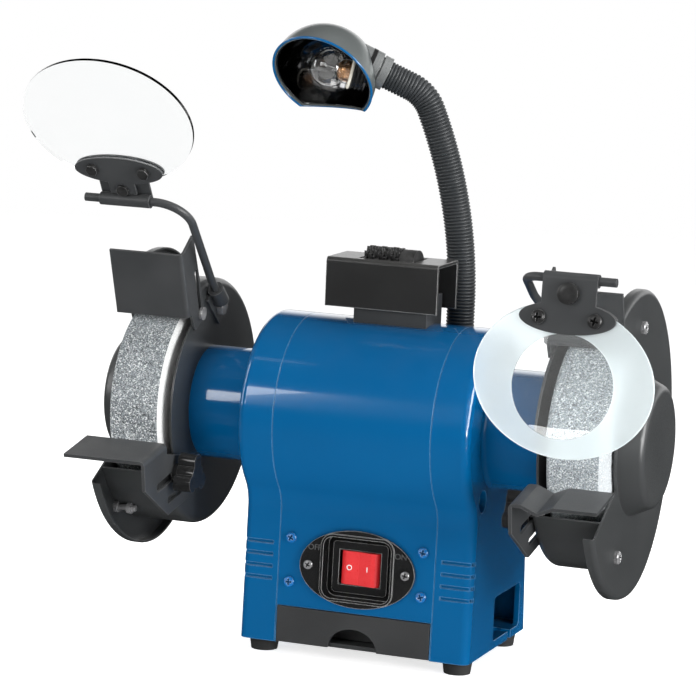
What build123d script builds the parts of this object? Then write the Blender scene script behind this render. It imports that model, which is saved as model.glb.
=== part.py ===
from build123d import *
from math import acos, atan2, atan, cos, degrees, hypot, radians, sin, sqrt
import os

# Bench grinder with a wheel at each end, a lamp on a ribbed neck and a wheel dresser on top.
# Millimetres. X runs along the shaft, -Y is the front and Z is up.
# Modelling is done with the shaft line at y = 0; saving moves the bench-bolt line to y = 0.

# How far a cut runs past the face it cuts, and how near two lengths count as the same
margin = 1.0
tolerance = 0.01

# Casing
shaft_height = 160.0
barrel_radius = 71.6
seam_half_width = 59.0
body_half_width = 86.5
front_depth = 51.0
front_slope = 0.038
rear_depth = 84.0
waist_radius = 26.0
shell_wall = 3.0
bell_wall = 4.0
bell_floor = 6.0
seam_gap = 0.25
shoulder_radius = 6.0
neck_radius = 41.0
neck_end = 136.0
neck_wall = 8.0
neck_fillet = 3.0
base_plate_thickness = 3.0
plate_gap = 0.2

# Vent grooves round the front corners
vent_count = 4
vent_first_z = 45.5
vent_pitch = 8.6
vent_height = 2.4
vent_depth = 1.6
vent_length = 23.0
vent_wrap = 7.0

# Feet and bench bolts
foot_radius = 11.0
foot_tip_radius = 9.5
foot_height = 10.0
foot_x = 73.5
foot_front_y = -33.0
foot_rear_y = 66.0
bolt_half_spacing = 75.0
bolt_row_y = 44.0
bolt_hole_radius = 5.5
bolt_mouth_width = 7.0
window_front_y = 6.0
window_rear_y = 66.0
window_top_z = 38.0
window_corner = 3.0

# Tie bolts and casing screws
tie_bolt_radius = 2.5
tie_bolt_inset = 15.4
tie_bolt_angle = 54.3
tie_recess_radius = 8.0
tie_recess_depth = 8.0
tie_boss_wall = 3.0
tie_head_radius = 5.0
tie_head_height = 4.5
casing_screw_x = 49.8
casing_screw_low_z = 44.6
casing_screw_high_z = 76.4
casing_screw_radius = 1.8
casing_screw_head_radius = 3.7
casing_screw_head_height = 1.8
casing_screw_length = 10.0

# Motor
stator_length = 56.0
stator_bore_radius = 35.0
stator_fit = 0.3
air_gap = 0.7
winding_inset = 19.6
winding_depth = 13.5
winding_length = 18.0
winding_round = 6.0
rotor_fit = 0.05
shaft_radius = 9.0
journal_radius = 7.5
arbor_radius = 6.35
bearing_x = 108.0
bearing_width = 11.0
bearing_radius = 17.5
race_thickness = 2.5
ball_count = 8
ball_clearance = 0.1
seat_clearance = 0.05
shaft_hole_clearance = 2.0

# Wheels and their fastenings
wheel_radius = 75.0
wheel_width = 40.0
wheel_chamfer = 1.2
wheel_gap = 7.5
flange_radius = 28.0
flange_thickness = 4.0
flange_relief = 1.0
flange_relief_radius = 16.8
blotter_radius = 31.0
blotter_thickness = 0.5
bore_clearance = 0.1
nut_radius = 10.5
nut_height = 8.0
shaft_stub = 1.5

# Wheel guards
sheet = 1.5
guard_radius = 90.0
guard_corner = 5.0
guard_front_radius = 72.0
opening_low_angle = -28.0
opening_high_angle = 62.0
guard_hole_clearance = 5.0
cover_gap = 1.7
cover_radius = 109.0
cover_rear = 93.0
cover_lip = 8.0
cover_corner = 4.0
dome_base_radius = 50.0
dome_top_radius = 42.0
dome_height = 17.0
dome_border = 3.0
dome_round = 6.0
tab_angles = (-61.0, 88.0, 190.0)
tab_radius = 83.0
tab_width = 14.0
tab_depth = 10.0
cover_screw_radius = 2.4
cover_screw_head_radius = 4.6
cover_screw_head_height = 2.6
cover_screw_length = 20.0
guard_screw_circle = 34.5
guard_screw_radius = 2.0
guard_screw_head_radius = 3.5
guard_screw_head_height = 2.0
guard_screw_length = 12.0
guard_screw_angles = (90.0, 210.0, 330.0)
hole_clearance = 0.2
side_gap = 0.2

# Tool rests
rest_sheet = 2.5
rest_tilt_angle = 11.0
rest_bolt_y = -67.0
rest_bolt_drop = 43.0
rest_bolt_radius = 3.0
rest_bolt_head_radius = 5.0
rest_bolt_head_height = 3.0
rest_bolt_length = 21.0
rest_slot_clearance = 0.3
rest_front = 52.0
rest_table_back = 13.0
rest_table_rise = 27.0
rest_table_reach = 62.0
rest_back = 22.0
rest_back_rise = 6.0
rest_heel = 4.0
rest_heel_rise = 6.0
rest_drop = 26.0
rest_nose = 16.0
rest_shoulder = 5.0
rest_slot_front = 30.0
rest_slot_back = 13.0
rest_second_slot_drop = 15.5
rest_second_slot_front = 13.0
rest_second_slot_back = 15.0
rest_second_slot_radius = 2.6
rest_bend = 4.0
vee_depth = 5.0
vee_half_width = 11.0
vee_offset = 20.0
knob_hub_radius = 9.0
knob_lobe_radius = 6.0
knob_lobe_circle = 9.5
knob_lobe_angles = (90.0, 210.0, 330.0)
knob_thickness = 13.0
knob_collar_radius = 7.5
knob_collar_length = 4.0
knob_cap = 3.0

# Spark deflectors
deflector_sheet = 2.0
deflector_lean_angle = 20.0
deflector_screw_y = -30.0
deflector_screw_rise = 68.0
deflector_screw_radius = 2.4
deflector_screw_head_radius = 4.6
deflector_screw_head_height = 2.4
inner_nut_height = 3.4
inner_nut_radius = 5.0
deflector_front = 21.0
deflector_back = 6.0
deflector_low = 6.0
deflector_top = 56.0
deflector_peak = 61.0
deflector_tail = 8.0
deflector_tail_rise = 3.0
deflector_tail_inset = 2.0
deflector_peak_inset = 4.0
deflector_reach = 56.0
deflector_slot = 32.0
deflector_bend = 3.0

# Eye shields
pivot_y = 4.0
pivot_rise = 69.0
pivot_bolt_radius = 3.0
pivot_bolt_head_radius = 6.0
pivot_bolt_head_height = 4.0
arm_length = 129.0
left_arm_angle = 40.5
right_arm_angle = 26.5
left_shield_angle = 147.0
right_shield_angle = 6.0
rod_radius = 3.0
rod_fit = 0.1
left_rod_bend = 22.0
left_rod_lean = 9.0
left_rod_lean_start = 34.0
right_rod_bend = 10.0
right_rod_lean = -4.0
right_rod_lean_start = 90.0
rod_start = 10.0
rod_end_length = 12.0
shield_offset = 3.0
clamp_wall = 3.0
clamp_sleeve_start = 9.0
clamp_sleeve_end = 24.0
clamp_plate = 2.2
clamp_plate_end = 21.0
clamp_back = 9.0
clamp_half_width = 9.0
lens_half_width = 63.5
lens_half_height = 51.5
lens_thickness = 2.5
lens_centre = 67.5
holder_sheet = 1.5
holder_neck_width = 38.0
holder_half_width = 33.5
holder_centre = 26.0
holder_half_height = 11.0
holder_tab_width = 20.0
holder_tab_top = 6.0
holder_screw_x = 19.5
holder_screw_drop = 26.4
holder_screw_radius = 2.0
holder_screw_head_radius = 4.8
holder_screw_head_height = 2.4
holder_nut_radius = 4.6
holder_nut_height = 3.2
holder_sleeve_wall = 1.5
holder_rivet_drop = 9.5
holder_rivet_radius = 3.0
holder_rivet_head_radius = 7.2
holder_rivet_head_height = 4.0
holder_rivet_tail_radius = 4.3
holder_rivet_tail_height = 2.0
magnifier_radius = 35.0
magnifier_height = 4.0
magnifier_drop = 4.0

# Switch
switch_z = 58.9
switch_x = 1.5
switch_half_width = 43.3
switch_half_height = 27.7
switch_plate_thickness = 2.5
switch_rim_width = 55.0
switch_rim_height = 48.0
switch_rim_wall = 2.0
switch_rim_depth = 3.6
switch_rim_corner = 9.0
switch_well_depth = 7.4
switch_floor = 2.0
bezel_width = 41.5
bezel_height = 37.0
bezel_depth = 3.4
bezel_corner = 3.0
switch_body_depth = 22.0
switch_wall = 2.5
rocker_width = 29.5
rocker_height = 24.0
rocker_depth = 13.0
rocker_proud = 2.4
rocker_round = 5.0
rocker_gap = 1.0
rocker_tilt_angle = 6.0
rocker_valley = 1.6
rocker_foot = 6.0
rocker_shoulder = 2.0
rocker_pit = 8.0
plate_screw_x = 36.6
plate_screw_radius = 1.5
plate_screw_head_radius = 3.2
plate_screw_head_height = 1.6
plate_screw_length = 9.0

# Water tray
tray_half_width = 57.6
tray_front_height = 26.4
tray_front_thickness = 4.0
tray_gap = 0.5
tray_wall = 2.0
tray_setback = 18.0
tray_depth = 68.0
tray_side_inset = 5.0
tray_top_drop = 2.5
tray_notch_half_width = 18.5
tray_notch_height = 15.0

# Electrical pieces in the pedestal
capacitor_radius = 14.0
capacitor_length = 56.0
capacitor_y = 57.0
terminal_width = 16.0
terminal_depth = 20.0
terminal_height = 15.0
terminal_x = -44.0
terminal_y = 57.0
gland_x = -36.0
gland_z = 40.0
gland_thread_radius = 8.0
gland_nut_radius = 11.5
gland_nut_height = 6.0
gland_stub = 9.0
gland_bore_radius = 3.6

# Wheel dresser on the barrel
channel_half_length = 42.0
channel_half_depth = 22.0
channel_low_rise = 9.4
channel_top_rise = 44.4
channel_sheet = 2.5
channel_corner = 3.0
channel_gap = 0.2
channel_window_gap = 1.2
seat_left = -22.0
seat_right = 33.0
seat_half_depth = 16.0
seat_top_rise = 20.4
seat_wall = 3.0
cutter_radius = 14.0
cutter_root_radius = 10.5
cutter_teeth = 14
cutter_discs = 9
cutter_thickness = 2.1
cutter_pitch = 3.0
cutter_start_x = -18.5
cutter_rise = 38.4
cutter_stagger_angle = 9.0
cutter_bush_length = 11.0
cutter_bush_radius = 13.0
cutter_pin_radius = 3.0
cutter_pin_clearance = 0.15
web_gap = 2.5
pin_overhang = 1.5

# Lamp neck and lamp
neck_hose_x = 40.0
neck_hose_y = 38.0
hose_root_radius = 9.2
hose_rib_radius = 10.3
hose_bore_radius = 7.0
hose_rib_shoulder = 0.22
hose_rib_crest = 0.5
hose_rib_foot = 0.72
hose_rib_pitch = 2.4
hose_end_run = 18.4
hose_heading_angle = 22.0
hose_low_radius = 361.0
hose_low_angle = 22.7
hose_high_radius = 30.0
hose_high_angle = 43.3
socket_margin = 0.5
socket_rise = 3.0
socket_depth = 10.0
collar_radius = 13.0
collar_length = 13.0
collar_ring = 6.0
collar_groove = 1.4
collar_low_radius = 12.2
collar_gap = 0.2
spigot_length = 10.0
spigot_clearance = 0.2
collar_blend = 11.0
hood_radius = 38.0
hood_mouth_rise = 2.0
hood_wall = 1.6
hood_facing = (-0.098, -0.781, -0.617)
hood_reach = 39.9
hood_drop = 21.4
hood_flat_drop = 23.0
reflector_wall = 0.8
reflector_gap = 0.3
reflector_setback = 1.5
lamp_socket_radius = 10.5
lamp_socket_start = 14.0
lamp_socket_length = 10.5
lamp_axis_drop = 5.2
lamp_axis_angle = 11.0
lamp_stem_radius = 5.0
lamp_stem_clearance = 0.3
bulb_radius = 14.5
bulb_neck_radius = 9.0
bulb_centre = 40.0

# Worked-out places
shaft_axis = Axis((0, 0, shaft_height), (1, 0, 0))
rear_lean = acos(barrel_radius / hypot(rear_depth, shaft_height)) - atan2(shaft_height, rear_depth)
front_tilt = degrees(atan(front_slope))
wheel_inner_x = neck_end + wheel_gap
wheel_outer_x = wheel_inner_x + wheel_width
cover_inner_x = wheel_outer_x + cover_gap
cover_outer_x = cover_inner_x + sheet
dome_outer_x = cover_outer_x + dome_height
flange_shoulder_x = wheel_inner_x - blotter_thickness - flange_thickness
nut_face_x = wheel_outer_x + blotter_thickness + flange_thickness
shaft_end_x = nut_face_x + nut_height + shaft_stub
rest_outer_x = neck_end - side_gap
rest_bolt_z = shaft_height - rest_bolt_drop
deflector_screw_z = shaft_height + deflector_screw_rise
pivot_z = shaft_height + pivot_rise
barrel_top_z = shaft_height + barrel_radius
channel_low_z = barrel_top_z + channel_low_rise
channel_top_z = barrel_top_z + channel_top_rise
seat_top_z = barrel_top_z + seat_top_rise
cutter_z = barrel_top_z + cutter_rise
socket_radius = hose_rib_radius + socket_margin
winding_outer_radius = barrel_radius - winding_inset
winding_inner_radius = winding_outer_radius - winding_depth
tie_circle = barrel_radius - tie_bolt_inset
tie_bolt_y = tie_circle * cos(radians(tie_bolt_angle))
tie_bolt_rise = tie_circle * sin(radians(tie_bolt_angle))
shield_x = (wheel_inner_x + wheel_outer_x) / 2 + shield_offset


# Distance from the shaft line to the front face at one height
def front_at(z):
    return -front_depth + front_slope * z


# Distance from the shaft line to the rear face at one height, moved in by a wall
def rear_at(z, inset):
    return (barrel_radius - inset + (shaft_height - z) * sin(rear_lean)) / cos(rear_lean)


# Side outline of the casing: a round barrel that runs into a pedestal with a drawn-in front
def casing_section(inset, bottom):
    radius = barrel_radius - inset
    tangent = (radius * cos(rear_lean), shaft_height + radius * sin(rear_lean))
    pedestal = Polygon(
        (front_at(bottom) + inset, bottom),
        (rear_at(bottom, inset), bottom),
        tangent,
        (0, shaft_height),
        (front_at(shaft_height) + inset, shaft_height),
        align=None,
    )
    outline = Pos(0, shaft_height) * Circle(radius) + pedestal
    waist = [v for v in outline.vertices() if v.X < 0 and bottom + 1 < v.Y < shaft_height - 1]
    return fillet(waist, waist_radius + inset)


# A side outline drawn in (y, z) and carried along X from x0 to x1
def prism(sketch, x0, x1):
    return extrude(Plane.YZ.offset(x0) * sketch, amount=x1 - x0, dir=(1, 0, 0))


# A round bar along X
def bar(x0, x1, radius, y=0.0, z=shaft_height):
    return prism(Pos(y, z) * Circle(radius), x0, x1)


# A hexagon bar along X, with its corners on a circle
def hex_bar(x0, x1, radius, y=0.0, z=shaft_height):
    return prism(Pos(y, z) * RegularPolygon(radius, 6), x0, x1)


# A solid turned about the shaft line from (x, radius) corners, some of them rounded
def turned(corners, rounds=()):
    outline = Polygon(*[(x, shaft_height + r) for x, r in corners], align=None)
    for index, radius in rounds:
        x, r = corners[index]
        corner = outline.vertices().sort_by_distance((x, shaft_height + r))[0]
        outline = fillet(corner, radius)
    return revolve(Plane.XZ * outline, axis=shaft_axis)


# A plain ring about the shaft line
def ring(x0, x1, inner, outer):
    return bar(x0, x1, outer) - bar(x0, x1, inner)


# A place in (y, z) at an angle above the front, seen from the shaft line
def around(angle, radius):
    return -radius * cos(radians(angle)), shaft_height + radius * sin(radians(angle))


# Right-hand pieces are modelled, and the left-hand ones are their mirror images
def on_side(piece, side):
    return piece if side > 0 else mirror(piece, about=Plane.YZ)


def both_sides(piece):
    return [piece, mirror(piece, about=Plane.YZ)]


def save(name, *pieces):
    moved = [Pos(0, -bolt_row_y, 0) * piece for piece in pieces]
    shape = moved[0] if len(moved) == 1 else Compound(children=moved)
    export_step(shape, f"parts/{name}.step")


# A place on the front face, which leans back a little; -Y points out of the face there
def front_place(x, z):
    return Pos(x, front_at(z), z) * Rot(-front_tilt, 0, 0)


# A sketch on the front face made into a plate from one depth inside to one height outside
def front_plate(sketch, inside, outside):
    return extrude(Plane.XZ.offset(-inside) * sketch, amount=inside + outside, dir=(0, -1, 0))


# A rectangle with round corners, grown all round by a margin
def rounded(width, height, corner, grow):
    return RectangleRounded(width + 2 * grow, height + 2 * grow, corner + grow)


# A place on the rear face with Z pointing out of it
def rear_place(x, z):
    return Pos(x, rear_at(z, 0), z) * Rot(degrees(rear_lean) - 90, 0, 0)


# A round post along Z
def post(z0, z1, radius):
    return Pos(0, 0, z0) * Cylinder(radius, z1 - z0, align=(Align.CENTER, Align.CENTER, Align.MIN))


# A box given by its two opposite corners
def block(low, high):
    middle = [(a + b) / 2 for a, b in zip(low, high)]
    return Pos(*middle) * Box(*[b - a for a, b in zip(low, high)])


# A front sector seen from the shaft line, between the two edges of the wheel opening
def opening_sector(x0, x1):
    reach = 3 * cover_radius
    corners = [(0, shaft_height), around(opening_low_angle, reach), around(opening_high_angle, reach)]
    return prism(Polygon(*corners, align=None), x0, x1)


# A long slot along local Y in a sheet that stands square to X
def slot_x(x0, x1, y0, y1, radius, z):
    slot = bar(x0, x1, radius, y0, z) + bar(x0, x1, radius, y1, z)
    return slot + block((x0, y0, z - radius), (x1, y1, z + radius))


def tie_places():
    return [(sy * tie_bolt_y, shaft_height + sz * tie_bolt_rise) for sy in (-1, 1) for sz in (-1, 1)]


def plate_screw_places():
    return [(switch_x - plate_screw_x, switch_z), (switch_x + plate_screw_x, switch_z)]


def casing_screw_places():
    return [(sx * casing_screw_x, z) for sx in (-1, 1) for z in (casing_screw_low_z, casing_screw_high_z)]


# Height of the lamp neck's lower end, just above the barrel
def hose_base_z():
    return shaft_height + sqrt(barrel_radius ** 2 - neck_hose_y ** 2) + socket_rise


# Place and direction on the lamp neck after a length along it: straight, wide bend, tight bend, straight
def hose_station(length):
    low_length = hose_low_radius * radians(hose_low_angle)
    high_length = hose_high_radius * radians(hose_high_angle)
    low_part = min(max(length - hose_end_run, 0), low_length)
    high_part = min(max(length - hose_end_run - low_length, 0), high_length)
    last_part = max(length - hose_end_run - low_length - high_length, 0)
    low = low_part / hose_low_radius
    turn = low + high_part / hose_high_radius
    out = hose_low_radius * (1 - cos(low)) + hose_high_radius * (cos(low) - cos(turn)) + last_part * sin(turn)
    up = min(length, hose_end_run) + hose_low_radius * sin(low)
    up += hose_high_radius * (sin(turn) - sin(low)) + last_part * cos(turn)
    heading = radians(hose_heading_angle)
    ahead = Vector(-cos(heading), -sin(heading), 0)
    place = Vector(neck_hose_x, neck_hose_y, hose_base_z() + up) + ahead * out
    onward = ahead * sin(turn) + Vector(0, 0, cos(turn))
    return Plane(place, x_dir=(-sin(heading), cos(heading), 0), z_dir=onward)


def hose_length():
    bends = hose_low_radius * radians(hose_low_angle) + hose_high_radius * radians(hose_high_angle)
    return 2 * hose_end_run + bends


# Central wrap of the casing, open below and at both ends
def make_motor_shell():
    end = seam_half_width - seam_gap
    deep = 3 * shell_wall
    shell = prism(casing_section(0, 0), -end, end)
    shell -= prism(casing_section(shell_wall, -margin), -end - margin, end + margin)
    tray_side = tray_half_width + tray_gap
    tray_top = tray_front_height + tray_gap
    shell -= block((-tray_side, front_at(0) - deep, -margin), (tray_side, front_at(0) + deep, tray_top))
    well = rounded(switch_rim_width, switch_rim_height, switch_rim_corner, hole_clearance)
    shell -= front_place(switch_x, switch_z) * front_plate(well, deep, deep)
    for x, z in casing_screw_places():
        shell -= front_place(x, z) * front_plate(Circle(casing_screw_radius + hole_clearance), deep, deep)
    for x, z in plate_screw_places():
        shell -= front_place(x, z) * front_plate(Circle(plate_screw_radius + hole_clearance), deep, deep)
    shell -= rear_place(gland_x, gland_z) * post(-deep, deep, gland_thread_radius + hole_clearance)
    socket_hole = post(shaft_height, shaft_height + 2 * barrel_radius, socket_radius + hole_clearance)
    shell -= Pos(neck_hose_x, neck_hose_y, 0) * socket_hole
    return shell


# Right end casting: pedestal end, shoulder, hollow neck, bearing seat and bench-bolt recess
def make_end_bell():
    inside = body_half_width - bell_wall
    bell = prism(casing_section(0, 0), seam_half_width, body_half_width)
    rim = bell.faces().sort_by(Axis.X)[-1].outer_wire().edges()
    bell = fillet([e for e in rim if e.center().Z > 1], shoulder_radius)
    bell += bar(inside, neck_end, neck_radius)
    root = [e for e in bell.edges().filter_by(GeomType.CIRCLE)
            if abs(e.radius - neck_radius) < tolerance and abs(e.center().X - body_half_width) < tolerance]
    bell = fillet(root, neck_fillet)
    bell -= prism(casing_section(bell_wall, bell_floor), seam_half_width - margin, inside)
    recess_x = body_half_width - tie_recess_depth
    for y, z in tie_places():
        boss = bar(recess_x - bell_wall, inside + bell_wall / 2, tie_recess_radius + tie_boss_wall, y, z)
        bell += boss & prism(casing_section(bell_wall / 2, bell_floor), seam_half_width, body_half_width)
    for y, z in tie_places():
        bell -= bar(recess_x, body_half_width + margin, tie_recess_radius, y, z)
        bell -= bar(seam_half_width, body_half_width, tie_bolt_radius + hole_clearance, y, z)
    bell -= bar(seam_half_width, bearing_x - neck_wall, neck_radius - neck_wall)
    bell -= bar(seam_half_width, bearing_x + bearing_width, bearing_radius)
    bell -= bar(seam_half_width, neck_end + margin, journal_radius + shaft_hole_clearance)
    for angle in guard_screw_angles:
        y, z = around(angle, guard_screw_circle)
        hole = guard_screw_radius + hole_clearance
        bell -= bar(neck_end - guard_screw_length, neck_end + margin, hole, y, z)
    width = window_rear_y - window_front_y
    window = RectangleRounded(width, window_top_z - bell_floor, window_corner)
    window = Pos((window_rear_y + window_front_y) / 2, (window_top_z + bell_floor) / 2) * window
    bell -= prism(window, inside - margin, body_half_width + margin)
    bell -= Pos(bolt_half_spacing, bolt_row_y, 0) * post(-margin, bell_floor + margin, bolt_hole_radius)
    half = bolt_mouth_width / 2
    mouth_end = body_half_width + margin
    low = (bolt_half_spacing, bolt_row_y - half, -margin)
    bell -= block(low, (mouth_end, bolt_row_y + half, bell_floor + margin))
    for i in range(vent_count):
        z = vent_first_z + i * vent_pitch
        y = front_at(z)
        start = body_half_width - vent_length
        low = z - vent_height / 2
        bell -= block((start, y - margin, low), (mouth_end, y + vent_depth, low + vent_height))
        side = body_half_width - vent_depth
        bell -= block((side, y - margin, low), (mouth_end, y + vent_wrap, low + vent_height))
    return bell


def make_base_plate():
    side = seam_half_width - seam_gap
    front = front_at(0) + tray_front_thickness + tray_gap
    rear = rear_at(base_plate_thickness, shell_wall) - plate_gap
    return block((-side, front, 0), (side, rear, base_plate_thickness))


def make_feet():
    feet = []
    for x in (-foot_x, foot_x):
        for y in (foot_front_y, foot_rear_y):
            standing = (Align.CENTER, Align.CENTER, Align.MIN)
            cone = Cone(foot_tip_radius, foot_radius, foot_height, align=standing)
            feet.append(Pos(x, y, -foot_height) * cone)
    return feet


# Long bolts with a hexagon head at the right and a nut at the left
def make_tie_bolts():
    seat = body_half_width - tie_recess_depth
    end = seat + tie_head_height
    bolts = []
    for y, z in tie_places():
        bolt = bar(-end, end, tie_bolt_radius, y, z)
        bolt += hex_bar(seat, end, tie_head_radius, y, z)
        bolt += hex_bar(-end, -seat, tie_head_radius, y, z)
        bolts.append(bolt)
    return bolts


# Pan-head screws on the front face
def front_screws(places, radius, head_radius, head_height, length, lift):
    screws = []
    for x, z in places:
        screw = front_plate(Circle(radius), length - lift, lift)
        screw += front_plate(Circle(head_radius), -lift, lift + head_height)
        screws.append(front_place(x, z) * screw)
    return screws


def make_stator():
    half = stator_length / 2
    core = ring(-half, half, stator_bore_radius, barrel_radius - shell_wall - stator_fit)
    for y, z in tie_places():
        core -= bar(-half - margin, half + margin, tie_bolt_radius + hole_clearance, y, z)
    return core


def make_windings():
    near = stator_length / 2
    far = near + winding_length
    corners = [(near, winding_inner_radius), (near, winding_outer_radius)]
    corners += [(far, winding_outer_radius), (far, winding_inner_radius)]
    coil = turned(corners, [(2, winding_round), (3, winding_round)])
    return both_sides(coil)


def make_shaft():
    shoulder = bearing_x
    corners = [(-shaft_end_x, 0), (-shaft_end_x, arbor_radius), (-flange_shoulder_x, arbor_radius)]
    corners += [(-flange_shoulder_x, journal_radius), (-shoulder, journal_radius), (-shoulder, shaft_radius)]
    corners += [(shoulder, shaft_radius), (shoulder, journal_radius), (flange_shoulder_x, journal_radius)]
    corners += [(flange_shoulder_x, arbor_radius), (shaft_end_x, arbor_radius), (shaft_end_x, 0)]
    return turned(corners)


def make_rotor_core():
    half = stator_length / 2
    return ring(-half, half, shaft_radius + rotor_fit, stator_bore_radius - air_gap)


# Bearing races with a shallow track, and the balls between them
def ball_circle():
    return (bearing_radius - race_thickness + journal_radius + race_thickness) / 2


def ball_radius():
    return (bearing_radius - journal_radius) / 2 - race_thickness - ball_clearance


def make_outer_race():
    end = bearing_x + bearing_width
    return ring(bearing_x, end, bearing_radius - race_thickness, bearing_radius - seat_clearance)


def make_inner_race():
    end = bearing_x + bearing_width
    return ring(bearing_x, end, journal_radius + seat_clearance, journal_radius + race_thickness)


def make_balls():
    balls = []
    for i in range(ball_count):
        y, z = around(360.0 * i / ball_count, ball_circle())
        balls += both_sides(Pos(bearing_x + bearing_width / 2, y, z) * Sphere(ball_radius()))
    return balls


def make_wheel():
    wheel = ring(wheel_inner_x, wheel_outer_x, arbor_radius + bore_clearance, wheel_radius)
    edges = [e for e in wheel.edges().filter_by(GeomType.CIRCLE) if abs(e.radius - wheel_radius) < tolerance]
    return chamfer(edges, wheel_chamfer)


# Flange turned with a shallow relief on the wheel side
def make_flange(x0, x1, relief_x):
    flange = ring(x0, x1, arbor_radius + bore_clearance, flange_radius)
    low, high = sorted((relief_x, relief_x + (flange_relief if relief_x == x0 else -flange_relief)))
    return flange - ring(low, high, flange_relief_radius - flange_relief, flange_relief_radius)


def make_flanges():
    inner_end = flange_shoulder_x + flange_thickness
    inner = make_flange(flange_shoulder_x, inner_end, inner_end)
    outer = make_flange(nut_face_x - flange_thickness, nut_face_x, nut_face_x - flange_thickness)
    return both_sides(inner) + both_sides(outer)


def make_blotters():
    bore = arbor_radius + bore_clearance
    inner = ring(wheel_inner_x - blotter_thickness, wheel_inner_x, bore, blotter_radius)
    outer = ring(wheel_outer_x, wheel_outer_x + blotter_thickness, bore, blotter_radius)
    return both_sides(inner) + both_sides(outer)


def make_nut():
    end = nut_face_x + nut_height
    return hex_bar(nut_face_x, end, nut_radius) - bar(nut_face_x, end, arbor_radius + bore_clearance)


# Guard drum: back plate and band, open at the front, with tabs that carry the cover
def make_guard():
    end = cover_inner_x
    inner_x = neck_end + sheet
    inner_radius = guard_radius - sheet
    outside = [(neck_end, 0), (neck_end, guard_radius), (end, guard_radius), (end, 0)]
    inside = [(inner_x, 0), (inner_x, inner_radius), (end + margin, inner_radius), (end + margin, 0)]
    guard = turned(outside, [(1, guard_corner)]) - turned(inside, [(1, guard_corner - sheet)])
    middle = bar(neck_end - 2 * margin, end + 2 * margin, guard_front_radius)
    cut = opening_sector(neck_end - margin, end + margin) - middle
    guard -= cut
    tab_low = tab_radius - tab_depth / 2
    tab_high = guard_radius - sheet / 2
    for angle in tab_angles:
        tab = block((end - sheet, -tab_high, -tab_width / 2), (end, -tab_low, tab_width / 2))
        guard += Pos(0, 0, shaft_height) * Rot(-angle, 0, 0) * tab
    for angle in tab_angles:
        y, z = around(angle, tab_radius)
        guard -= bar(end - 2 * sheet, end + margin, cover_screw_radius + hole_clearance, y, z)
    guard -= bar(neck_end - margin, inner_x + margin, journal_radius + guard_hole_clearance)
    holes = [(*around(a, guard_screw_circle), guard_screw_radius) for a in guard_screw_angles]
    holes += [(rest_bolt_y, rest_bolt_z, rest_bolt_radius), (pivot_y, pivot_z, pivot_bolt_radius)]
    holes += [(deflector_screw_y, deflector_screw_z, deflector_screw_radius)]
    for y, z, radius in holes:
        guard -= bar(neck_end - margin, inner_x + margin, radius + hole_clearance, y, z)
    return guard


# Outline of the cover: round at the front, flatter at the rear, drawn in by an inset
def cover_outline(inset):
    radius = cover_radius - inset
    front = Circle(radius) & Pos(-radius, 0) * Rectangle(2 * radius, 2 * radius + margin)
    rear = Ellipse(cover_rear - inset, radius) & Pos(radius, 0) * Rectangle(2 * radius, 2 * radius + margin)
    return Pos(0, shaft_height) * (front + rear)


# Outer cover: a shallow dish with a raised middle, open over the same front sector but for its middle
def make_cover():
    lip_x = cover_outer_x - cover_lip
    cover = prism(cover_outline(0), lip_x, cover_outer_x)
    cover = fillet(cover.faces().sort_by(Axis.X)[-1].outer_wire().edges(), cover_corner)
    cover -= prism(cover_outline(sheet), lip_x - margin, cover_inner_x)
    dome = [(cover_inner_x, 0), (cover_inner_x, dome_base_radius), (cover_outer_x, dome_base_radius)]
    cover += turned(dome + [(dome_outer_x, dome_top_radius), (dome_outer_x, 0)], [(3, dome_round)])
    hollow = [(cover_inner_x - margin, 0), (cover_inner_x - margin, dome_base_radius - sheet)]
    hollow += [(cover_inner_x, dome_base_radius - sheet), (dome_outer_x - sheet, dome_top_radius - sheet)]
    cover -= turned(hollow + [(dome_outer_x - sheet, 0)], [(3, dome_round - sheet)])
    middle = bar(lip_x - 2 * margin, dome_outer_x + 2 * margin, dome_base_radius + dome_border)
    cover -= opening_sector(lip_x - margin, dome_outer_x + margin) - middle
    for angle in tab_angles:
        y, z = around(angle, tab_radius)
        hole = cover_screw_radius + hole_clearance
        cover -= bar(cover_inner_x - margin, cover_outer_x + margin, hole, y, z)
    return cover


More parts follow.
